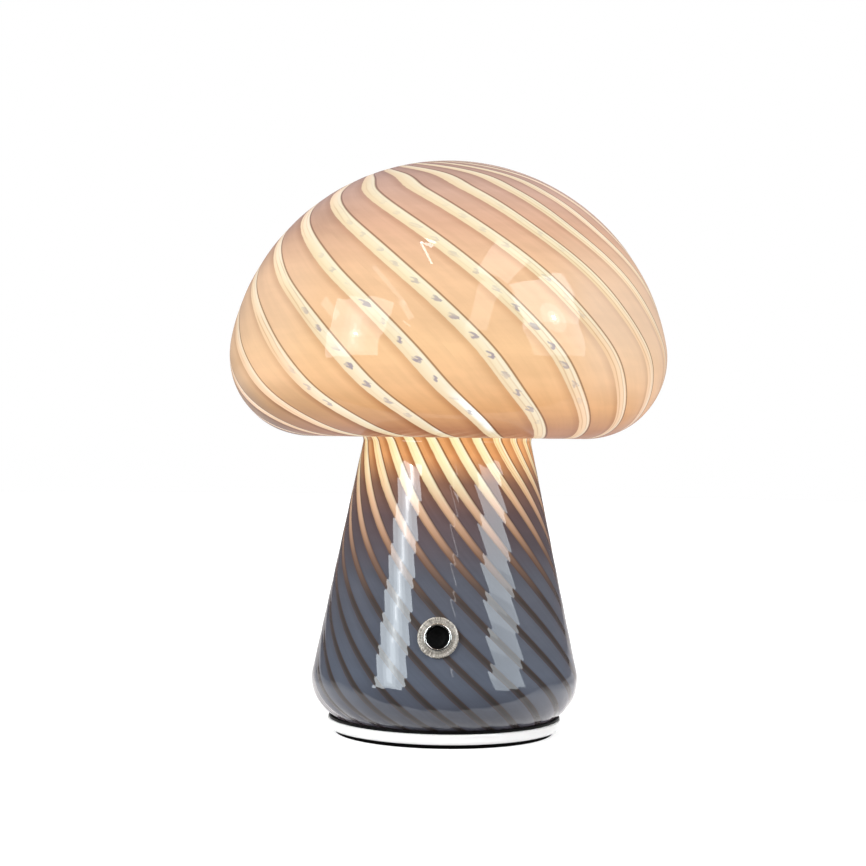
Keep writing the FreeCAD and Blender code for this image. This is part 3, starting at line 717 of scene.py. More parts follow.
        # Painted light: the sides of the stem are a little lighter, but for its far left.
        painted_side_light = side * at.leftward.eased(0.97, 0.85) * at.along.eased(262.0, 290.0)
        return bench.toned(painted_side_light, band, self.painted_side_light)

    def _cream(self, bench: FinishBench, at: GlassPlace, band: Flow) -> Flow:
        """Colours the stripes: cream on the lit glass, dark on the stem, with painted light and
        shade on the sides, fine lines, painted refraction marks and a painted glint.

        Args:
            bench: The bench that holds the tree.
            at: The place on the glass.
            band: The colour of the bands.

        Returns:
            The colour.
        """
        across, along = at.across, at.along
        # Painted light and shade: the cream is paler high on the sides of the cap and browner low
        # on them.
        cream = self._ramp(bench, at.down, self.stripe)
        turned = at.ahead.eased(0.8, 0.5)
        lit_cream = bench.toned(turned, cream, self.lit_side_cream)
        shaded_cream = bench.times(cream, self.shaded_side_cream)
        toned = bench.mixed(along.eased(85.0, 160.0), lit_cream, shaded_cream)
        cream = bench.mixed((1.0 - at.front) * at.lit.eased(0.1, 0.5), cream, toned)

        # The left half of a stripe fades into the band on the stem and is warmer everywhere.
        cream = bench.mixed(across.eased(0.1, -0.9) * along.eased(270.0, 292.0) * 0.5, cream, band)
        cream = bench.toned(across.eased(0.35, -1.0) * 0.75, cream, self.warm)
        sheer = abs(across - 0.62 + at.ragged * 0.4).eased(0.34, 0.06)
        sheer = sheer * (at.lit * 1.2 - 0.1).held()
        cream = bench.mixed(sheer * 0.6, cream, tint(*self.sheer))

        # A painted white glint low on the front of the cap.
        spot = abs(at.x - self.glint_at).eased(0.014, 0.009) * (-at.y).eased(0.05, 0.07)
        spot = spot * at.z.eased(0.1495, 0.141) * at.z.eased(0.1305, 0.133)
        cream = bench.mixed(spot * across.eased(-0.45, 0.3) * 0.75, cream, (*self.glint, 1.0))

        # Fine amber lines in the stripes, more of them at the sides and on the right.
        wander = bench.noise_at(at.number * 2.3, along * 0.05, 2.0, 2.0) * 9.0
        right = at.x.eased(0.012, 0.045)
        threads = (across * 7.5 + wander).wave().eased(0.5, 0.92)
        threads = threads * (1.0 - at.front * 0.75 + right * at.front * 0.6)
        patches = bench.noise_at(at.number * 4.0, along * 0.035, 9.0, 2.0)
        threads = threads * (patches + right * 0.14).eased(0.42, 0.56)
        cream = bench.toned(threads * at.lit * 0.9, cream, self.amber)
        # Painted refraction: grey marks of the far wall, seen through the clear stripes.
        cream = bench.mixed(self._marks(bench, at) * 0.82, cream, tint(*self.mark_colour))
        rust = abs(across + at.ragged * 0.3).eased(0.45, 0.9) * (1.0 - at.lit * 1.6).held()
        return bench.mixed(rust * 0.5, cream, tint(*self.rust))

    def _marks(self, bench: FinishBench, at: GlassPlace) -> Flow:
        """Draws the small hooked grey marks, one behind the other, in the stripes of the cap: a
        painted refraction of the far wall seen through the clear stripes.

        Args:
            bench: The bench that holds the tree.
            at: The place on the glass.

        Returns:
            The marks' strength.
        """
        across, along, number = at.across, at.along, at.number
        chance = bench.node("ShaderNodeTexWhiteNoise", {"noise_dimensions": "1D"}, {"W": number})
        warp = bench.noise_at(across * 1.3, along * 0.42, number * 3.7, 2.0) - 0.5
        drift = bench.noise_at(number * 5.1, along * 0.3, 4.0, 1.0) - 0.5
        row = ((along + warp * 2.2) / self.mark_pitch + chance).part_of_one() - 0.5
        x = across * 3.4 + warp * 3.4 + drift * 2.6
        y = row * self.mark_pitch
        reach = (x * x * 0.75 + y * y * 0.62 + x * y * 0.5).root()
        bite_x, bite_y = x + 0.75, y + 0.55
        bite = (bite_x * bite_x + bite_y * bite_y).root().eased(1.15, 0.55)
        hook = reach.eased(1.35, 0.85) * (1.0 - bite * (chance * 0.5 + 0.5))
        level = bench.level(self._ramp(bench, along / self.length, self.mark_strength))
        gaps = bench.noise_at(number, along * 0.09, 5.0, 1.0).eased(0.3, 0.5)
        return hook * level * at.front * gaps

    def lay(self, bench: FinishBench) -> None:
        """Builds the node tree.

        Args:
            bench: The bench that holds the tree.
        """
        at = self._locate(bench)
        band = self._bands(bench, at)
        edges = (at.past_right + at.ragged * 0.3).most(at.past_left + at.ragged * 0.8)
        colour = bench.mixed(edges.eased(0.18, -0.18), band, self._cream(bench, at, band))
        width = bench.noise_at(at.number, at.along * 0.2, 7.0, 2.0) * 0.5 + 0.45
        line = abs(at.past_right - self.line_at).eased(0.5, 0.14) * width.eased(0.42, 0.66)
        dark = bench.times(band, self.line)
        colour = bench.mixed(line * (at.lit * 0.75 + 0.2), colour, dark)
        place = bench.object_place()
        ripple = bench.noise(bench.stretched(place, self.ripple_size), detail=2.0)
        bench.surface(
            Base_Color=bench.times(colour, self._ramp(bench, at.down, self.paint)),
            Emission_Color=bench.times(colour, at.glow),
            Emission_Strength=1.0,
            Roughness=bench.noise(place, 220.0) * 0.1 + 0.45,
            Specular_IOR_Level=0.0,
            Coat_Weight=bench.level(self._ramp(bench, at.down, self.coat)),
            Coat_Roughness=0.012,
            Coat_IOR=1.5,
            Sheen_Weight=0.4,
            Sheen_Roughness=0.35,
            Sheen_Tint=tint(*self.bloom),
            Normal=bench.bumped(ripple, self.ripple_depth),
        )


# ---------------------------------------------------------------- modelling
class Body(Enum):
    """The bodies of the frame that pieces ride on."""

    LAMP = "lamp"
    BUTTON = "button"


class Workbench:
    """Modelling steps that every new piece shares."""

    @staticmethod
    def clear_selection() -> None:
        """Deselects everything, so that an operator acts on the new piece alone."""
        if bpy.context.object and bpy.context.object.mode != "OBJECT":
            bpy.ops.object.mode_set(mode="OBJECT")
        bpy.ops.object.select_all(action="DESELECT")
        bpy.context.view_layer.objects.active = None

    @staticmethod
    def take(piece: bpy.types.Object) -> None:
        """Selects one piece alone.

        Args:
            piece: The piece.
        """
        Workbench.clear_selection()
        piece.select_set(True)
        bpy.context.view_layer.objects.active = piece

    @staticmethod
    def lathe(outline: Sequence[Span], steps: int, closed: bool) -> bpy.types.Object:
        """Turns a section round +Z.

        A plane is merged to one point, the point is drawn out along the section, and the section
        is spun.

        Args:
            outline: The section's points, as radius and height in millimetres.
            steps: How many steps the full turn has.
            closed: Whether the section's last point is joined to its first.

        Returns:
            The turned piece.
        """
        Workbench.clear_selection()
        bpy.ops.mesh.primitive_plane_add(size=2.0 * MM)
        piece = bpy.context.object
        bpy.ops.object.mode_set(mode="EDIT")
        bpy.ops.mesh.select_mode(type="VERT")
        bpy.ops.mesh.select_all(action="SELECT")
        bpy.ops.mesh.merge(type="CENTER")
        path = [*outline, outline[0]] if closed else list(outline)
        bpy.ops.transform.translate(value=(path[0][0] * MM, 0.0, path[0][1] * MM))
        for here, there in zip(path, path[1:]):
            step = ((there[0] - here[0]) * MM, 0.0, (there[1] - here[1]) * MM)
            bpy.ops.mesh.extrude_region_move(TRANSFORM_OT_translate={"value": step})
        bpy.ops.mesh.select_all(action="SELECT")
        bpy.ops.mesh.remove_doubles(threshold=SAME_PLACE * MM)
        bpy.ops.mesh.spin(steps=steps, angle=FULL_TURN, center=ORIGIN, axis=(0.0, 0.0, 1.0))
        bpy.ops.mesh.select_all(action="SELECT")
        bpy.ops.mesh.remove_doubles(threshold=2.0 * SAME_PLACE * MM)
        bpy.ops.mesh.normals_make_consistent(inside=False)
        bpy.ops.mesh.select_all(action="DESELECT")
        return piece

    @staticmethod
    def choose_edges(piece: bpy.types.Object, radius: float, height: float) -> None:
        """Selects the edges of one turned ring, in edit mode.

        Args:
            piece: The piece, still turned round +Z.
            radius: The ring's radius in millimetres.
            height: The ring's height in millimetres.
        """
        bpy.ops.mesh.select_mode(type="EDGE")
        net = bmesh.from_edit_mesh(piece.data)
        for edge in net.edges:
            on_ring = all(
                abs(math.hypot(corner.co.x, corner.co.y) / MM - radius) < ON_RING
                and abs(corner.co.z / MM - height) < ON_RING
                for corner in edge.verts
            )
            edge.select_set(on_ring)
        bmesh.update_edit_mesh(piece.data)

    @staticmethod
    def choose_faces(piece: bpy.types.Object, wanted: Callable[[Vector, Vector], bool]) -> None:
        """Selects faces by their middle and normal, in edit mode.

        Args:
            piece: The piece.
            wanted: Tells from a face's middle in millimetres and its normal if it is selected.
        """
        bpy.ops.mesh.select_mode(type="FACE")
        net = bmesh.from_edit_mesh(piece.data)
        for face in net.faces:
            face.select_set(wanted(face.calc_center_median() / MM, face.normal))
        bmesh.update_edit_mesh(piece.data)

    @staticmethod
    def round_ring(
        piece: bpy.types.Object, radius: float, height: float, offset: float, segments: int
    ) -> None:
        """Rounds one turned edge, in edit mode.

        Args:
            piece: The piece, still turned round +Z.
            radius: The edge's radius in millimetres.
            height: The edge's height in millimetres.
            offset: The round's size in millimetres.
            segments: How many faces the round has.
        """
        bpy.ops.mesh.select_all(action="DESELECT")
        Workbench.choose_edges(piece, radius, height)
        bpy.ops.mesh.bevel(offset=offset * MM, segments=segments, affect="EDGES")
        bpy.ops.mesh.select_all(action="DESELECT")

    @staticmethod
    def map_turned(piece: bpy.types.Object) -> None:
        """Gives a turned piece its own map: the angle from 0 to 1, and the radius in centimetres.

        Args:
            piece: The piece, still turned round +Z, in object mode.
        """
        layer = piece.data.uv_layers.new(name="turned")
        for face in piece.data.polygons:
            middle = math.atan2(face.center.y, face.center.x)
            for corner in face.loop_indices:
                spot = piece.data.vertices[piece.data.loops[corner].vertex_index].co
                out = math.hypot(spot.x, spot.y) / MM
                angle = math.atan2(spot.y, spot.x) if out > ON_AXIS else middle
                angle += FULL_TURN * round((middle - angle) / FULL_TURN)
                layer.data[corner].uv = (angle / FULL_TURN + 0.5, out / 10.0)

    @staticmethod
    def smooth(piece: bpy.types.Object, angle: float) -> None:
        """Shades smoothly up to an angle in degrees."""
        Workbench.take(piece)
        bpy.ops.object.shade_smooth_by_angle(angle=math.radians(angle))

    @staticmethod
    def settle(
        piece: bpy.types.Object,
        name: str,
        body: Body,
        slot: str,
        finish: Finish,
        stands_for: Sequence[str],
        place: Matrix | None = None,
    ) -> bpy.types.Object:
        """Puts a finished piece in its place, and gives it its name, body, slot and finish.

        Args:
            piece: The piece.
            name: Its name.
            body: The body that it rides on.
            slot: The record's material slot. It is not used.
            finish: Its finish.
            stands_for: The frame's nodes that it replaces.
            place: Where its own frame goes, or None where it is in place.

        Returns:
            The piece.
        """
        Workbench.take(piece)
        if place is not None:
            piece.matrix_world = place
        bpy.ops.object.transform_apply(location=True, rotation=True, scale=True)
        piece.name = name
        piece.data.name = name
        piece.data.materials.clear()
        piece.data.materials.append(finish.make())
        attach(piece, body.value)
        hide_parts(*stands_for)
        LOG.info("%s: %d faces, rides on %s", name, len(piece.data.polygons), body.value)
        return piece


class SmoothLine:
    """A smooth curve of one value over another, through given points."""

    def __init__(self, points: Table) -> None:
        """Keeps the points and works out the slope at each.

        Args:
            points: Pairs of place and value, in order.
        """
        self.places, self.values = np.array(points, float).T
        steps = np.diff(self.values) / np.diff(self.places)
        inner = (steps[:-1] + steps[1:]) / 2.0
        self.slopes = np.concatenate(([steps[0]], inner, [steps[-1]]))

    def at(self, where: np.ndarray) -> np.ndarray:
        """Reads the curve.

        Args:
            where: The places. Past the ends the curve runs on straight.

        Returns:
            The values.
        """
        where = np.asarray(where, float)
        slot = np.clip(np.searchsorted(self.places, where) - 1, 0, len(self.places) - 2)
        width = self.places[slot + 1] - self.places[slot]
        share = np.clip((where - self.places[slot]) / width, 0.0, 1.0)
        start, end = self.values[slot], self.values[slot + 1]
        pull, push = self.slopes[slot] * width, self.slopes[slot + 1] * width
        value = (
            (2 * share**3 - 3 * share**2 + 1) * start
            + (share**3 - 2 * share**2 + share) * pull
            + (3 * share**2 - 2 * share**3) * end
            + (share**3 - share**2) * push
        )
        past = np.clip(where - self.places[-1], 0.0, None) * self.slopes[-1]
        before = np.clip(self.places[0] - where, 0.0, None) * self.slopes[0]
        return value + past - before


# ---------------------------------------------------------------- glass
@dataclass
class GlassBody:
    """The blown glass: domed cap, neck and flared stem in one shell, with its twisted stripes."""

    height: float = 250.0
    cap_radius: float = 95.8
    dome_radius: float = 96.8
    rim_round: float = 35.2
    underside_fall: float = 5.8
    neck_round: float = 3.5
    taper: float = 11.87
    foot_radius: float = 58.3
    foot_round: float = 18.5
    foot_level: float = 23.4
    lip_level: float = 7.4
    lip_thickness: float = 3.5
    lip_steps: Span = (0.25, 2.6)
    mouth_radius: float = 43.2
    mouth_round: float = 0.4
    inner_round: float = 0.3
    wall: float = 3.5
    hole_radius: float = 6.1
    stripes: int = 22
    front_turn: float = 3.5
    turn_rounds: int = 30
    stripe_edge: float = 0.15
    columns: tuple[float, ...] = (
        -0.5, -0.41, -0.32, -0.23, -0.158, -0.142, -0.05, 0.05, 0.142, 0.158, 0.23, 0.32, 0.41,
    )
    twist: Table = (
        (0, -150.0), (15, -116.0), (30, -80.0), (45, -54.0), (61, -42.1), (77, -30.5), (93, -19.4),
        (109, -9.5), (125, -0.5), (141, 7.6), (157, 14.9), (173, 23.6), (189, 31.5), (208, 43.5),
        (226, 59.4), (250, 81.1), (274, 104.7), (298, 131.1), (322, 159.0), (340, 181.2),
    )
    lean: Table = (
        (0, -0.84), (45, -0.86), (60, -0.79), (85, -0.49), (110, -0.45), (125, -0.36), (145, -0.32),
        (165, -0.28), (189, -0.20), (226, 0.32), (244, 0.23), (265, 0.21), (305, 0.40), (340, 0.66),
        (346, 0.68),
    )
    sway: Table = (
        (0, -0.40), (45, -0.40), (60, -0.44), (85, -0.69), (105, -0.52), (125, -0.36), (145, -0.26),
        (165, -0.22), (189, 0.10), (226, -0.15), (244, 0.08), (265, 0.19), (305, 0.44), (340, 0.51),
        (346, 0.51),
    )
    left_edge: Table = (
        (0, -0.30), (45, -0.31), (60, -0.29), (80, -0.262), (100, -0.23), (120, -0.195),
        (140, -0.155), (160, -0.135), (190, -0.15), (226, -0.30), (240, -0.29), (250, -0.24),
        (262, -0.21), (282, -0.18), (302, -0.165), (346, -0.165),
    )
    right_edge: Table = (
        (0, 0.13), (45, 0.11), (60, 0.085), (80, 0.052), (100, 0.062), (120, 0.07), (140, 0.105),
        (160, 0.128), (190, 0.12), (226, 0.165), (240, 0.16), (250, 0.15), (262, 0.14), (282, 0.13),
        (302, 0.125), (346, 0.125),
    )
    relief: Table = (
        (0, 0.0), (20, 0.02), (50, 0.06), (100, 0.10), (175, 0.10), (200, 0.06), (216, 0.03),
        (236, 0.08), (262, 0.10), (322, 0.10), (333, 0.13), (342, 0.30), (346, 0.30),
    )
    outer_counts: tuple[int, ...] = (74, 46, 9, 10, 60, 18)
    inner_counts: tuple[int, ...] = (18, 12, 4, 5, 12, 7)
    stripe_bulge: float = 0.3
    stem_relief: Span = (226.0, 244.0)
    calm_angle: float = -20.0
    calm_reach: float = 15.0
    calm_share: float = 0.55
    outer_length: float = field(default=0.0, init=False)

    def _stem_radius(self, level: float, wall: float) -> float:
        """Gives the stem's radius at a level, that far inside the outer face."""
        lean = math.radians(self.taper)
        centre = self.foot_radius - self.foot_round
        start = centre + self.foot_round * math.cos(lean)
        start_level = self.foot_level + self.foot_round * math.sin(lean)
        return start - (level - start_level) * math.tan(lean) - wall / math.cos(lean)

    def _dome(self) -> tuple[float, float, float, float]:
        """Finds where the dome and the rim are centred.

        Returns:
            The level of the dome's centre, the rim's centre as radius and height, and the angle
            where the rim ends.
        """
        level = self.height - self.dome_radius
        rim_r = self.cap_radius - self.rim_round
        rim_z = level + math.sqrt((self.dome_radius - self.rim_round) ** 2 - rim_r**2)
        return level, rim_r, rim_z, -math.pi / 2.0 - math.radians(self.underside_fall)

    def _neck(self, wall: float) -> tuple[Span, float, float, float]:
        """Finds the neck's round between the underside and the stem.

        Args:
            wall: How far inside the outer face.

        Returns:
            Its centre, its radius, and the angles where it starts and ends.
        """
        _, rim_r, rim_z, end = self._dome()
        lean = math.radians(self.taper)
        radius = self.neck_round + wall
        reach = self.rim_round - wall + radius
        start = np.array((rim_r + reach * math.cos(end), rim_z + reach * math.sin(end)))
        along = np.array((math.sin(end), -math.cos(end)))
        up = np.array((-math.sin(lean), math.cos(lean)))
        foot = np.array((self._stem_radius(self.foot_level, wall), self.foot_level))
        base = foot + np.array((math.cos(lean), math.sin(lean))) * radius
        shares = np.linalg.solve(np.array((along, -up)).T, base - start)
        centre = start + along * shares[0]
        return (centre[0], centre[1]), radius, end + math.pi, math.pi + lean

    @staticmethod
    def _arc(centre: Span, radius: float, first: float, last: float, count: int) -> np.ndarray:
        """Gives points on an arc between two angles, without its first one."""
        angles = first + (last - first) * np.arange(1, count + 1) / count
        return np.stack((np.cos(angles), np.sin(angles)), 1) * radius + np.array(centre)

    @staticmethod
    def _run(start: Sequence[float], end: Sequence[float], count: int) -> np.ndarray:
        """Gives points on a straight run from start to end, without its first one."""
        shares = (np.arange(1, count + 1) / count)[:, None]
        return np.asarray(start) + (np.asarray(end) - np.asarray(start)) * shares

    def _face(self, wall: float, floor: float, counts: Sequence[int]) -> np.ndarray:
        """Gives the profile of one face of the glass, from the pole down.

        Args:
            wall: How far inside the outer face.
            floor: The level where the foot's round would be flat.
            counts: The points on dome, rim, underside, neck, stem and foot.

        Returns:
            The points as radius and height, without the pole.
        """
        dome_level, rim_r, rim_z, rim_end = self._dome()
        dome_end = math.atan2(rim_z - dome_level, rim_r)
        lean = math.radians(self.taper)
        pole = math.pi / 2.0
        dome = self._arc((0.0, dome_level), self.dome_radius - wall, pole, dome_end, counts[0])
        rim = self._arc((rim_r, rim_z), self.rim_round - wall, dome_end, rim_end, counts[1])
        centre, radius, first, last = self._neck(wall)
        neck = self._arc(centre, radius, first, last, counts[3])
        start = (centre[0] + radius * math.cos(first), centre[1] + radius * math.sin(first))
        under = self._run(rim[-1], start, counts[2])
        foot_r = self.foot_level - floor
        shift = (self.foot_round - wall - foot_r) / math.cos(lean)
        foot_x = self.foot_radius - self.foot_round + shift
        stem_end = (foot_x + foot_r * math.cos(lean), self.foot_level + foot_r * math.sin(lean))
        stem = self._run(neck[-1], stem_end, counts[4])
        last_level = max(self.lip_level, floor)
        foot_end = -math.asin(min(1.0, (self.foot_level - last_level) / foot_r))
        foot = self._arc((foot_x, self.foot_level), foot_r, lean, foot_end, counts[5])
        return np.concatenate((dome, rim, under, neck, stem, foot))

    def profile(self) -> tuple[np.ndarray, int]:
        """Gives the whole closed profile, from the outer pole over the lip to the inner pole.

        Returns:
            The points without the poles, and how many of them are on the outer face.
        """
        outer = self._face(0.0, self.foot_level - self.foot_round, self.outer_counts)
        inner_floor = self.lip_level + self.lip_thickness
        inner = self._face(self.wall, inner_floor, self.inner_counts)[::-1]
        edge, mouth, base = outer[-1][0], self.mouth_radius, self.lip_level
        first, second = self.lip_steps
        lip = np.array((
            (edge - first, base), (edge - second, base), (mouth + self.mouth_round, base),
            (mouth, base + self.mouth_round), (mouth, inner_floor - self.inner_round),
            (mouth + first, inner_floor),
        ))
        inner = inner[inner[:, 0] > 0.5]
        at_lip = (inner[:, 1] < inner_floor + 0.05) & (inner[:, 0] < mouth + 2.0 * first)
        inner = inner[~at_lip]
        return np.concatenate((outer, lip, inner)), len(outer)

    def _azimuths(self, along: np.ndarray) -> np.ndarray:
        """Works out where each column of the mesh stands round the lamp.

        Args:
            along: The way down the profile of each ring, in millimetres.

        Returns:
            The angle in radians from -Y towards +X, by ring and column.
        """
        count = len(self.columns)
        places = np.tile(np.array(self.columns), self.stripes)
        numbers = np.repeat(np.arange(self.stripes), count)
        left = SmoothLine(self.left_edge).at(along)[:, None]
        right = SmoothLine(self.right_edge).at(along)[:, None]
        edge = self.stripe_edge
        place = places[None, :]
        share = (place + edge) / (2.0 * edge)
        inside = left + (right - left) * share
        band = np.where(place < 0.0, place + 1.0, place)
        outside = right + (1.0 + left - right) * (band - edge) / (1.0 - 2.0 * edge)
        outside = np.where(place < 0.0, outside - 1.0, outside)
        wanted = numbers[None, :] + np.where(np.abs(place) <= edge, inside, outside)
        period = 360.0 / self.stripes
        twist = SmoothLine(self.twist).at(along)[:, None]
        lean = SmoothLine(self.lean).at(along)[:, None]
        sway = SmoothLine(self.sway).at(along)[:, None]
        angle = wanted * period + twist
        for _ in range(self.turn_rounds):
            turn = np.radians(angle)
            miss = (angle - twist) / period - wanted
            miss = miss + lean * np.sin(turn) + sway * (np.cos(turn) - 1.0)
            slope = 1.0 / period + np.radians(lean * np.cos(turn) - sway * np.sin(turn))
            angle = angle - miss / slope
        return np.radians(angle + self.front_turn)

    def _displacement(self, along: np.ndarray, angle: np.ndarray) -> np.ndarray:
        """Gives the shallow relief: each band is domed, and its edges are creases.

        On one side of the stem the bands are flatter.

        Args:
            along: The way down the profile of each ring, in millimetres.
            angle: The angle of each point in radians from -Y towards +X, by ring and column.

        Returns:
            How far each point lies inside the smooth form, in millimetres, by ring and column.
        """
        depth = np.interp(along, *np.array(self.relief).T)[:, None]
        place = np.tile(np.array(self.columns), self.stripes)[None, :]
        edge = self.stripe_edge
        band = (0.5 - np.abs(place)) / (0.5 - edge)
        turn = np.degrees(angle) - self.calm_angle
        off = ((turn + 180.0) % 360.0 - 180.0) / self.calm_reach
        on_stem = np.interp(along, self.stem_relief, (0.0, 1.0))[:, None]
        calm = 1.0 - self.calm_share * np.exp(-(off**2)) * on_stem
        in_band = calm * band**2
        in_stripe = calm - self.stripe_bulge * (1.0 - (np.abs(place) / edge) ** 2)
        return depth * np.where(np.abs(place) > edge, in_band, in_stripe)

    def build(self) -> bpy.types.Object:
        """Makes the glass.

        A sphere with as many rings and columns as the glass needs is drawn onto the profile ring
        by ring, so that its columns run along the edges of the stripes.

        Returns:
            The mesh object, in place.
        """
        rings, outer = self.profile()
        columns = len(self.columns) * self.stripes
        pole = (0.0, self.height)
        way = np.cumsum(np.linalg.norm(np.diff(np.vstack((pole, rings)), axis=0), axis=1))
        self.outer_length = float(way[outer - 1])
        along = np.minimum(way, self.outer_length)
        course = np.vstack((rings[1:], rings[-1])) - np.vstack((pole, rings[:-1]))
        outwards = np.stack((-course[:, 1], course[:, 0]), 1)
        outwards /= np.linalg.norm(outwards, axis=1)[:, None]
        angle = self._azimuths(along)
        depth = self._displacement(along, angle)
        depth[outer:] = 0.0
        radius = rings[:, 0:1] - outwards[:, 0:1] * depth
        level = rings[:, 1:2] - outwards[:, 1:2] * depth

        Workbench.clear_selection()
        last = len(rings) + 1
        bpy.ops.mesh.primitive_uv_sphere_add(segments=columns, ring_count=last, radius=1.0)
        piece = bpy.context.object
        spots = np.zeros(len(piece.data.vertices) * 3)
        piece.data.vertices.foreach_get("co", spots)
        spots = spots.reshape(-1, 3)
        ring = np.rint(np.arccos(np.clip(spots[:, 2], -1.0, 1.0)) / math.pi * last).astype(int)
        share = np.arctan2(spots[:, 1], spots[:, 0]) / FULL_TURN - 0.25
        column = np.rint(share * columns).astype(int) % columns
        body = (ring > 0) & (ring < last)
        row = np.clip(ring - 1, 0, len(rings) - 1)
        far, high, turn = radius[row, column], level[row, column], angle[row, column]
        placed = np.stack((far * np.sin(turn), -far * np.cos(turn), high), 1)
        spots[body] = placed[body] * MM
        spots[ring == 0] = (0.0, 0.0, self.height * MM)
        spots[ring == last] = (0.0, 0.0, (self.height - self.wall) * MM)
        piece.data.vertices.foreach_set("co", spots.ravel())
        down = np.concatenate(([0.0], way, [way[-1] + rings[-1][0]])) / self.outer_length
        self._map_stripes(piece.data, ring, column, down)
        LOG.info("glass: %d rings of %d columns, %.1f mm", len(rings), columns, self.outer_length)
        return piece

    def _map_stripes(
        self, mesh: bpy.types.Mesh, ring: np.ndarray, column: np.ndarray, down: np.ndarray
    ) -> None:
        """Lays the glass's own map: stripes counted round it, and the way down the profile.

        Args:
            mesh: The glass's mesh.
            ring: Each vertex's ring, from the outer pole to the inner one.
            column: Each vertex's column.
            down: Each ring's way down the profile over the outer length.
        """
        while mesh.uv_layers:
            mesh.uv_layers.remove(mesh.uv_layers[0])
        layer = mesh.uv_layers.new(name="swirl")
        corners = np.zeros(len(mesh.loops), int)
        mesh.loops.foreach_get("vertex_index", corners)
        starts = np.zeros(len(mesh.polygons), int)
        mesh.polygons.foreach_get("loop_start", starts)
        owner = np.repeat(np.arange(len(starts)), np.diff(np.append(starts, len(corners))))
        places = np.array(self.columns)
        counted = (np.arange(self.stripes)[:, None] + places[None, :]).ravel()
        counted = np.append(counted, self.stripes + places[0])
        columns = len(counted) - 1
        number = column[corners]
        off_pole = (ring[corners] > 0) & (ring[corners] < len(down) - 1)
        highest = np.zeros(len(starts), int)
        np.maximum.at(highest, owner[off_pole], number[off_pole])
        wraps = (number == 0) & (highest[owner] == columns - 1)
        value = counted[np.where(wraps, columns, number)]
        total, held = np.zeros(len(starts)), np.zeros(len(starts))
        np.add.at(total, owner[off_pole], value[off_pole])
        np.add.at(held, owner[off_pole], 1.0)
        value = np.where(off_pole, value, (total / held)[owner])
        laid = np.stack((value / self.stripes, down[ring[corners]]), 1)
        layer.data.foreach_set("uv", laid.ravel().astype(np.float32))
        mesh.update()

    def cut_hole(self, piece: bpy.types.Object, place: Matrix) -> None:
        """Bores the hole for the push button.

        Args:
            piece: The glass.
            place: The button's frame.
        """
        Workbench.clear_selection()
        bpy.ops.mesh.primitive_cylinder_add(
            vertices=72, radius=self.hole_radius * MM, depth=6.0 * self.wall * MM)
        drill = bpy.context.object
        drill.matrix_world = place
        bpy.ops.object.transform_apply(location=True, rotation=True, scale=True)
        Workbench.take(piece)
        bpy.ops.object.modifier_add(type="BOOLEAN")
        bore = piece.modifiers[-1]
        bore.operation, bore.object, bore.solver = "DIFFERENCE", drill, "EXACT"
        bpy.ops.object.modifier_apply(modifier=bore.name)
        bpy.data.objects.remove(drill)
        for name in [layer.name for layer in piece.data.uv_layers if layer.name != "swirl"]:
            piece.data.uv_layers.remove(piece.data.uv_layers[name])

    def make(self, place: Matrix) -> bpy.types.Object:
        """Builds and dresses the glass.

        Args:
            place: The button's frame.

        Returns:
            The finished piece.
        """
        piece = self.build()
        self.cut_hole(piece, place)
        Workbench.smooth(piece, 50.0)
        finish = SwirlGlass("swirl_glass", self.stripes, self.outer_length, self.stripe_edge)
        nodes = ["glass_cap", "glass_stem"]
        return Workbench.settle(
            piece, "swirl_glass_body", Body.LAMP, "swirl_glass", finish, nodes)


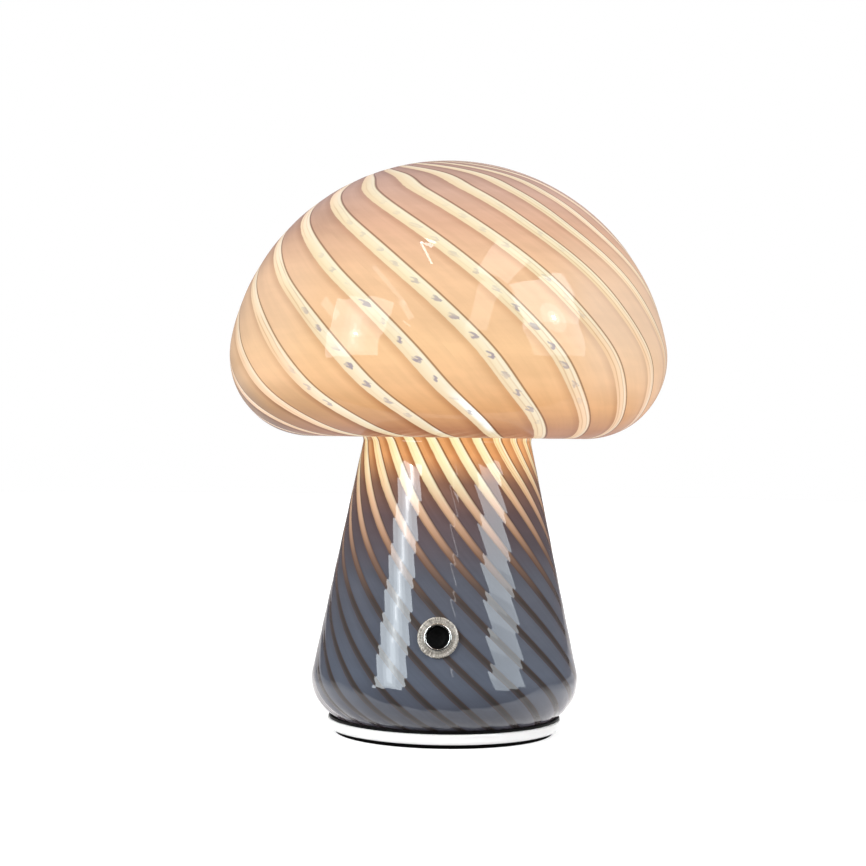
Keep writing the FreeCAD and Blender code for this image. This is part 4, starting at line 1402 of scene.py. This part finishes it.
# ---------------------------------------------------------------- push button
@dataclass
class SwitchGroup:
    """The push button: clear ring, polished bezel, dished button and its return spring."""

    middle: tuple[float, float, float] = (0.0, -53.807, 46.7)
    outwards: tuple[float, float, float] = (0.0, -0.97862, 0.20569)
    ring_radius: float = 8.5
    ring_face: float = 1.2
    ring_edge: float = 0.35
    ring_edge_round: float = 0.2
    groove: tuple[float, ...] = (6.65, 6.9, 7.3, 7.55)
    groove_depth: float = 0.12
    notch_width: float = 1.5
    notch_depth: float = 0.45
    sleeve_radius: float = 6.05
    glass_wall: float = 3.5
    barrel_radius: float = 5.4
    barrel_floor: float = -8.9
    fit: float = 0.05
    flange_radius: float = 5.75
    flange_face: float = 2.1
    flange_round: float = 0.4
    bore: float = 4.85
    spring_floor: float = -7.0
    plunger_hole: float = 1.8
    cap_radius: float = 4.70
    cap_face: float = 1.2
    cap_back: float = -3.8
    dish_radius: float = 14.0
    dish_steps: tuple[float, ...] = (0.0, 0.8, 1.6, 2.4, 3.2, 3.75, 3.95, 4.15, 4.45)
    dish_groove: int = 6
    plunger_radius: float = 1.6
    plunger_length: float = 9.0
    travel: float = 1.2
    spring_radius: float = 3.0
    spring_wire: float = 0.35
    spring_turns: int = 4
    spring_slack: float = 0.02
    glass_radius: float = 53.807
    taper: float = 11.87
    seat_gap: float = 0.02
    seat_rounds: int = 12

    def place(self) -> Matrix:
        """Gives the button's frame: +Z out of the glass, its origin on the outer face."""
        out = Vector(self.outwards).normalized()
        right = Vector((1.0, 0.0, 0.0))
        up = out.cross(right)
        turn = Matrix((right, up, out)).transposed().to_4x4()
        return Matrix.Translation(Vector(self.middle) * MM) @ turn

    def _seat(self, piece: bpy.types.Object) -> None:
        """Lowers the underside of the ring's flange onto the cone of the stem.

        Args:
            piece: The ring, still turned round +Z, in object mode.
        """
        lean = math.radians(self.taper)
        for corner in piece.data.vertices:
            x, y, z = corner.co / MM
            if abs(z) > SAME_PLACE or math.hypot(x, y) < self.sleeve_radius + ON_RING:
                continue
            down = 0.0
            for _ in range(self.seat_rounds):
                level = y * math.cos(lean) + down * math.sin(lean)
                depth = self.glass_radius + down * math.cos(lean) - y * math.sin(lean)
                surface = self.glass_radius - level * math.tan(lean)
                down -= (math.hypot(x, depth) - surface) * 0.9
            corner.co.z = (down + self.seat_gap) * MM

    def _finish(
        self, piece: bpy.types.Object, angle: float, name: str, slot: str, finish: Finish,
        node: str, body: Body = Body.LAMP,
    ) -> bpy.types.Object:
        """Maps, smooths and settles a turned piece in the button's frame.

        Args:
            piece: The piece, still turned round +Z.
            angle: The angle in degrees up to which it is shaded smoothly.
            name: Its name.
            slot: The record's material slot.
            finish: Its finish.
            node: The frame's node that it replaces.
            body: The body that it rides on.

        Returns:
            The piece.
        """
        Workbench.clear_selection()
        Workbench.map_turned(piece)
        Workbench.smooth(piece, angle)
        return Workbench.settle(piece, name, body, slot, finish, [node], self.place())

    def make_ring(self) -> bpy.types.Object:
        """Makes the clear ring, with its sleeve through the glass and two moulding notches.

        Returns:
            The finished piece.
        """
        inner, face, edge = self.barrel_radius + self.fit, self.ring_face, self.ring_edge
        first, second, third, fourth = self.groove
        floor = face - self.groove_depth
        outline = (
            (inner, -self.glass_wall), (self.sleeve_radius, -self.glass_wall),
            (self.sleeve_radius, 0.0), (6.8, 0.0), (7.6, 0.0), (self.ring_radius, 0.0),
            (self.ring_radius, face - edge), (self.ring_radius - edge, face), (fourth, face),
            (third, floor), (second, floor), (first, face), (6.35, face), (inner, face),
        )
        piece = Workbench.lathe(outline, 96, closed=True)

        def notched(middle: Vector, normal: Vector) -> bool:
            """Finds the faces of the two notches, left and right in the ring's groove."""
            in_groove = 6.6 < math.hypot(middle.x, middle.y) < 7.6
            return normal.z > 0.7 and in_groove and abs(middle.y) < self.notch_width / 2.0

        Workbench.choose_faces(piece, notched)
        bpy.ops.mesh.inset(thickness=self.groove_depth * MM, depth=0.0)
        sunk = (0.0, 0.0, -self.notch_depth * MM)
        bpy.ops.mesh.extrude_region_move(TRANSFORM_OT_translate={"value": sunk})
        bpy.ops.mesh.select_all(action="DESELECT")
        for radius, height in ((self.ring_radius, face - edge), (self.ring_radius - edge, face)):
            Workbench.round_ring(piece, radius, height, self.ring_edge_round, 3)
        bpy.ops.object.mode_set(mode="OBJECT")
        self._seat(piece)
        finish = RingSilicone("ring_silicone")
        return self._finish(piece, 38.0, "button_ring", "clear_silicone", finish, "switch_grommet")

    def make_bezel(self) -> bpy.types.Object:
        """Makes the polished barrel with its rounded flange.

        Returns:
            The finished piece.
        """
        outline = (
            (self.plunger_hole, self.barrel_floor), (self.barrel_radius, self.barrel_floor),
            (self.barrel_radius, self.ring_face), (self.flange_radius, self.ring_face),
            (self.flange_radius, self.flange_face), (self.bore, self.flange_face),
            (self.bore, self.spring_floor), (self.plunger_hole, self.spring_floor),
        )
        piece = Workbench.lathe(outline, 96, closed=True)
        Workbench.round_ring(piece, self.flange_radius, self.flange_face, self.flange_round, 5)
        Workbench.round_ring(piece, self.bore, self.flange_face, 0.22, 4)
        Workbench.round_ring(piece, self.flange_radius, self.ring_face, 0.1, 2)
        finish = TurnedMetal("bezel_chrome")
        return self._finish(piece, 35.0, "button_bezel", "bezel_chrome", finish, "switch_bezel")

    def make_button(self) -> bpy.types.Object:
        """Makes the dished button with its plunger.

        Returns:
            The finished piece.
        """
        centre = self.cap_face + math.sqrt(self.dish_radius**2 - self.cap_radius**2)
        dish = [
            (out, centre - math.sqrt(self.dish_radius**2 - out**2))
            for out in (*self.dish_steps, self.cap_radius)
        ]
        dish[self.dish_groove] = (dish[self.dish_groove][0], dish[self.dish_groove][1] - 0.12)
        tip = self.cap_back - self.plunger_length
        outline = (
            *dish, (self.cap_radius, self.cap_back), (self.plunger_radius, self.cap_back),
            (self.plunger_radius, tip), (0.0, tip),
        )
        piece = Workbench.lathe(outline, 72, closed=False)
        Workbench.round_ring(piece, self.cap_radius, dish[-1][1], 0.15, 3)
        Workbench.round_ring(piece, self.plunger_radius, tip, 0.3, 2)
        finish, name = MatteButton("button_black"), "dished_button"
        return self._finish(
            piece, 35.0, name, "button_plastic", finish, "push_button", Body.BUTTON)

    def make_spring(self) -> bpy.types.Object:
        """Makes the return spring, from the bore's floor to the button's back.

        Returns:
            The finished piece.
        """
        room = self.cap_back - self.spring_floor
        free = room - self.spring_wire - 2.0 * self.spring_slack
        start = self.spring_floor + self.spring_slack + self.spring_wire / 2.0
        Workbench.clear_selection()
        bpy.ops.mesh.primitive_circle_add(vertices=12, radius=self.spring_wire / 2.0 * MM)
        piece = bpy.context.object
        bpy.ops.object.mode_set(mode="EDIT")
        bpy.ops.mesh.select_all(action="SELECT")
        bpy.ops.transform.rotate(value=math.pi / 2.0, orient_axis="X", center_override=ORIGIN)
        bpy.ops.transform.translate(value=(self.spring_radius * MM, 0.0, start * MM))
        bpy.ops.object.mode_set(mode="OBJECT")
        coil = piece.modifiers.new("coil", "SCREW")
        coil.axis, coil.angle, coil.iterations = "Z", FULL_TURN, self.spring_turns
        coil.screw_offset = free / self.spring_turns * MM
        coil.steps = coil.render_steps = 36
        bpy.ops.object.modifier_apply(modifier=coil.name)
        bpy.ops.object.mode_set(mode="EDIT")
        bpy.ops.mesh.select_all(action="SELECT")
        bpy.ops.mesh.fill_holes(sides=0)
        bpy.ops.mesh.select_all(action="SELECT")
        bpy.ops.mesh.normals_make_consistent(inside=False)
        finish = Metal("spring_steel", (186, 186, 192), 0.24)
        self._finish(piece, 40.0, "return_spring", "spring_steel", finish, "button_spring")
        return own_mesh(piece)

    def make(self) -> None:
        """Makes all four parts."""
        self.make_ring()
        self.make_bezel()
        self.make_button()
        self.make_spring()


# ---------------------------------------------------------------- parts kept from the frame
SMALL_SCREWS = ("clip_screws", "column_screws", "led_board_screws", "board_screws")
ALONG_Y = (1500.0, 60.0, 1500.0)
ALONG_X = (60.0, 1500.0, 1500.0)


@dataclass
class KeptParts:
    """Every part of the frame whose own shape stays, with the finish that each gets."""

    finishes: dict[str, Finish] = field(default_factory=lambda: {
        "glass_gasket": Moulded("gasket_rubber", (5, 5, 5), 0.46, Grain.SATIN, 0.2, 0.0, 0.08),
        "base_shell": Moulded("base_plastic", (240, 240, 240), 0.22, Grain.POLISHED, 0.02, 0.5),
        "foot_ring": Moulded("foot_rubber", (3, 3, 3), 0.7, Grain.SPARKED, 0.2, 0.0, 0.03),
        "bottom_cover": Moulded("cover_plastic", (214, 214, 212), 0.5, Grain.SPARKED, 0.04),
        "cover_screws": Metal("cover_screws", (190, 190, 194)),
        "glass_clips": Metal("clip_steel", (186, 186, 192), 0.26, ALONG_Y),
        "column_tube": Moulded("column_plastic", (42, 42, 44), 0.5, Grain.SPARKED, 0.12),
        "cell_holder": Moulded("holder_plastic", (52, 52, 55), 0.5, Grain.SPARKED, 0.1),
        "battery_cells": Moulded("cell_sleeve", (62, 118, 168), 0.28, Grain.POLISHED, 0.06, 0.3),
        "cell_contacts": Metal("nickel_strip", (206, 203, 196), 0.3, ALONG_X),
        "heat_sink": Metal("sink_aluminium", (208, 210, 214), 0.34),
        "led_board": Moulded("led_board", (238, 238, 232), 0.36, Grain.SATIN, 0.04),
        "led_chips": Opal("led_chips", (248, 220, 150), (255, 214, 160), 3.0),
        "light_dome": Opal("opal_dome", (246, 240, 230), (255, 222, 180), 1.2),
        "control_board": CircuitBoard("circuit_board"),
        **{name: Metal(name, (188, 188, 192)) for name in SMALL_SCREWS},
        "board_chips": Moulded("chip_plastic", (34, 34, 36), 0.44, Grain.SATIN, 0.15),
        "choke_coil": Moulded("ferrite", (66, 66, 68), 0.6, Grain.CAST, 0.2),
        "charge_socket": Metal("socket_steel", (196, 196, 200), 0.24, ALONG_Y),
        "switch_washer": Moulded("washer_rubber", (20, 20, 20), 0.5, Grain.SATIN, 0.2),
        "switch_nut": Metal("nut_brass", (206, 186, 120), 0.26),
        "switch_case": Moulded("switch_case", (46, 46, 50), 0.46, Grain.SATIN, 0.1),
        "switch_terminals": Metal("terminal_brass", (208, 188, 122), 0.24, ALONG_X),
        "switch_leads": Moulded("switch_lead_sleeve", (138, 34, 30), 0.4, Grain.SATIN, 0.08),
        "led_leads": Moulded("led_lead_sleeve", (150, 40, 32), 0.4, Grain.SATIN, 0.08),
        "battery_leads": Moulded("battery_lead_sleeve", (128, 30, 28), 0.4, Grain.SATIN, 0.08),
    })

    def dress(self) -> None:
        """Puts each finish into its part's material slots."""
        for name, finish in self.finishes.items():
            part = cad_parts[name]
            material = finish.make()
            if not part.data.materials:
                part.data.materials.append(material)
            for number in range(len(part.data.materials)):
                part.data.materials[number] = material
            LOG.info("%s: finished as %s", name, finish.name)


# ---------------------------------------------------------------- studio
WHITE: Colour = (1.0, 1.0, 1.0)
COOL: Colour = (0.91, 1.0, 1.05)


class Use(Enum):
    """What a soft light is for: the reflections in the gloss, or the light on matte surfaces."""

    GLOSS = "gloss"
    FILL = "fill"


@dataclass(frozen=True)
class Softbox:
    """One soft light, placed by the direction in which the lamp sees it.

    Azimuth is in degrees from the camera's side, to the right of it as the camera sees the lamp.
    Elevation is above the horizon. Sizes are in degrees as seen from the lamp.
    """

    name: str
    azimuth: float
    elevation: float
    width: float
    height: float
    radiance: float
    roll: float = 0.0
    distance: float = 3.0
    use: Use = Use.GLOSS
    colour: Colour = WHITE
    disc: bool = False


@dataclass
class Studio:
    """The pale floor, the white surroundings, the soft lights and the camera."""

    turn: float = 3.0
    camera_height: float = 130.9
    camera_distance: float = 800.0
    focal: float = 75.45
    sensor: float = 36.0
    aim_left: float = 0.4514
    roll: float = 0.012
    aim_height: float = 110.0
    floor_radius: float = 3000.0
    floor_pale: Colour = (0.42, 0.42, 0.42)
    floor_dark: Colour = (0.03, 0.03, 0.03)
    floor_fill: float = 0.35
    gloss_edge: Span = (0.0735, 0.0715)
    gloss_low: float = 0.08
    gloss_high: float = 0.25
    surround_fill: float = 0.42
    lights: tuple[Softbox, ...] = (
        Softbox("left_fill", -45.0, 27.0, 27.0, 42.0, 8.0, 8.0, 1.0, Use.FILL),
        Softbox("right_fill", 50.0, 36.0, 27.0, 48.0, 5.0, -6.0, 1.0, Use.FILL),
        Softbox("back_fill", 180.0, 42.0, 70.0, 40.0, 1.6, 0.0, 1.3, Use.FILL),
        Softbox("top_fill", 0.0, 86.0, 60.0, 60.0, 0.7, 0.0, 1.2, Use.FILL),
        Softbox("left_box", -46.5, 17.5, 28.0, 41.0, 8.4, 0.0, 0.7, colour=COOL),
        Softbox("left_middle", -46.5, 18.0, 13.0, 34.0, 2.2, 0.0, 0.69, colour=COOL),
        Softbox("left_inner", -46.5, 18.5, 6.0, 27.0, 3.2, 0.0, 0.68, colour=COOL),
        Softbox("left_tube", -46.5, 18.5, 1.8, 18.0, 5.0, 0.0, 0.67),
        Softbox("left_halo", -45.3, 21.0, 7.5, 7.5, 6.0, 0.0, 0.66, disc=True),
        Softbox("left_core", -45.3, 21.0, 2.4, 2.4, 60.0, 0.0, 0.65, disc=True),
        Softbox("right_box", 56.0, 23.0, 30.0, 48.0, 4.6, 0.0, 1.0, colour=COOL),
        Softbox("right_middle", 56.0, 19.5, 30.0, 16.0, 1.4, 0.0, 0.99, colour=COOL),
        Softbox("right_upper", 56.0, 37.0, 30.0, 20.0, 5.0, 0.0, 0.98, colour=COOL),
        Softbox("right_glow", 56.0, 29.0, 14.0, 14.0, 5.0, 0.0, 0.97, disc=True),
        Softbox("right_halo", 56.0, 29.0, 6.5, 6.5, 7.0, 0.0, 0.96, disc=True),
        Softbox("right_core", 56.0, 29.0, 2.4, 2.4, 50.0, 0.0, 0.95, disc=True),
        Softbox("window_high", 43.8, 57.5, 14.6, 21.3, 6.5, -58.4),
        Softbox("window_low", 19.4, 35.9, 9.4, 25.7, 5.0, -25.9),
        Softbox("glint_long", -21.6, 65.8, 1.1, 15.5, 26.0, 29.7),
        Softbox("glint_short", -24.9, 71.5, 1.2, 5.9, 24.0, 74.2),
        Softbox("streak_high", -38.6, 46.3, 2.4, 28.4, 4.5, 52.3),
        Softbox("streak_middle", -23.9, 33.9, 3.6, 11.0, 6.0, 33.6),
        Softbox("streak_low", -23.2, 26.2, 0.8, 5.1, 9.0, 57.9),
        Softbox("facet", -69.4, 29.7, 4.9, 13.4, 5.0, 66.6),
        Softbox("mid_strip", 9.0, 21.0, 1.6, 10.0, 3.0),
    )

    def _towards(self, azimuth: float, elevation: float) -> Vector:
        """Gives a direction from the lamp.

        Args:
            azimuth: Degrees from the camera's side.
            elevation: Degrees above the horizon.

        Returns:
            The unit vector.
        """
        around, up = math.radians(azimuth + self.turn), math.radians(elevation)
        flat = math.cos(up)
        return Vector((math.sin(around) * flat, -math.cos(around) * flat, math.sin(up)))

    def make_camera(self) -> None:
        """Places the level camera of the photograph."""
        data = bpy.data.cameras.new("camera")
        data.lens, data.sensor_width, data.sensor_fit = self.focal, self.sensor, "HORIZONTAL"
        camera = bpy.data.objects.new("camera", data)
        bpy.context.scene.collection.objects.link(camera)
        back = self._towards(0.0, 0.0)
        eye = back * self.camera_distance * MM + Vector((0.0, 0.0, self.camera_height * MM))
        look = Matrix.Rotation(math.radians(self.aim_left), 4, "Z") @ (-back)
        facing = look.to_track_quat("-Z", "Y").to_matrix().to_4x4()
        facing = facing @ Matrix.Rotation(self.roll, 4, "Z")
        camera.matrix_world = Matrix.Translation(eye) @ facing
        bpy.context.scene.camera = camera
        LOG.info("camera: %.1f mm lens, %.0f mm away", self.focal, self.camera_distance)

    def make_lights(self) -> None:
        """Places the soft lights."""
        aim = Vector((0.0, 0.0, self.aim_height * MM))
        for box in self.lights:
            data = bpy.data.lights.new(box.name, "AREA")
            data.shape = "ELLIPSE" if box.disc else "RECTANGLE"
            data.size = 2.0 * box.distance * math.tan(math.radians(box.width / 2.0))
            data.size_y = 2.0 * box.distance * math.tan(math.radians(box.height / 2.0))
            area = data.size * data.size_y * (math.pi / 4.0 if box.disc else 1.0)
            data.energy = box.radiance * math.pi * area
            data.color = box.colour
            light = bpy.data.objects.new(box.name, data)
            bpy.context.scene.collection.objects.link(light)
            way = self._towards(box.azimuth, box.elevation)
            turned = way.to_track_quat("Z", "Y").to_matrix().to_4x4()
            turned = turned @ Matrix.Rotation(math.radians(box.roll), 4, "Z")
            light.matrix_world = Matrix.Translation(aim + way * box.distance) @ turned
            light.visible_camera = False
            light.visible_glossy = box.use is Use.GLOSS
            light.visible_diffuse = box.use is Use.FILL
            LOG.info("%s: %.2f by %.2f m", box.name, data.size, data.size_y)

    def make_surroundings(self) -> None:
        """Makes the world: plain white behind the lamp, dimmer to gloss and to matte surfaces."""
        world = bpy.data.worlds.new("surroundings")
        world.use_nodes = True
        bpy.context.scene.world = world
        bench = FinishBench(world.node_tree)
        camera = bench.node("ShaderNodeLightPath", output="Is Camera Ray")
        gloss = bench.node("ShaderNodeLightPath", output="Is Glossy Ray")
        through = bench.node("ShaderNodeLightPath", output="Is Transmission Ray")
        seen = camera.most(through)
        rest = 1.0 - seen.most(gloss)
        _, _, up = bench.split(bench.object_place())
        in_gloss = up.eased(0.12, 0.7) * (self.gloss_high - self.gloss_low) + self.gloss_low
        strength = seen + gloss * in_gloss + rest * self.surround_fill
        inputs = {"Color": (*WHITE, 1.0), "Strength": strength}
        light = bench.node("ShaderNodeBackground", None, inputs)
        bench.node("ShaderNodeOutputWorld", None, {"Surface": light})

    def _paper(self) -> bpy.types.Material:
        """Makes the floor's finish: white to the camera, with the lamp's soft shadow kept.

        Returns:
            The material.
        """
        material = bpy.data.materials.new("pale_floor")
        material.use_nodes = True
        bench = FinishBench(material.node_tree)
        x, y, _ = bench.split(bench.object_place())
        reach = (x * x + y * y).root()
        camera = bench.node("ShaderNodeLightPath", output="Is Camera Ray")
        gloss = bench.node("ShaderNodeLightPath", output="Is Glossy Ray")
        turn = math.radians(self.turn)
        near_edge = (x * math.sin(turn) - y * math.cos(turn)).eased(*self.gloss_edge)
        own = reach.eased(0.16, 0.7) * 0.36 + 0.64
        in_gloss = near_edge * (reach.eased(0.3, 0.1) * 0.83 + 0.12)
        strength = camera * own + gloss * in_gloss + (1.0 - camera.most(gloss)) * self.floor_fill
        light = {"Color": (*WHITE, 1.0), "Strength": strength}
        glow = bench.node("ShaderNodeEmission", None, light)
        pale, dark = (
            bench.node("ShaderNodeBsdfDiffuse", None, {"Color": (*grey, 1.0), "Roughness": 1.0})
            for grey in (self.floor_pale, self.floor_dark)
        )
        shares = {0: gloss * (1.0 - near_edge), 1: pale, 2: dark}
        paper = bench.node("ShaderNodeMixShader", None, shares)
        both = bench.node("ShaderNodeAddShader", None, {0: paper, 1: glow})
        bench.node("ShaderNodeOutputMaterial", None, {"Surface": both})
        return material

    def make_floor(self) -> None:
        """Makes the pale round floor just under the lamp."""
        radius = self.floor_radius * MM
        Workbench.clear_selection()
        bpy.ops.mesh.primitive_circle_add(
            vertices=96, radius=radius, fill_type="NGON", location=(0.0, 0.0, -0.05 * MM))
        floor = bpy.context.object
        bpy.ops.object.mode_set(mode="EDIT")
        bpy.ops.mesh.select_all(action="SELECT")
        for share in (0.5, 0.3):
            bpy.ops.mesh.inset(thickness=radius * share)
        bpy.ops.object.mode_set(mode="OBJECT")
        bpy.ops.object.transform_apply(location=True, rotation=True, scale=True)
        floor.name = "floor"
        floor.data.materials.append(self._paper())
        LOG.info("floor: %.1f m across", 2.0 * radius)

    def make(self) -> None:
        """Makes the whole studio."""
        self.make_camera()
        self.make_surroundings()
        self.make_lights()
        self.make_floor()
        bpy.context.scene.view_settings.view_transform = "Standard"


def main() -> None:
    """Builds the scene piece by piece."""
    logging.basicConfig(level=logging.INFO, format="%(name)s: %(message)s")
    Studio().make()
    switch = SwitchGroup()
    GlassBody().make(switch.place())
    switch.make()
    KeptParts().dress()


if __name__ == "__main__":
    main()
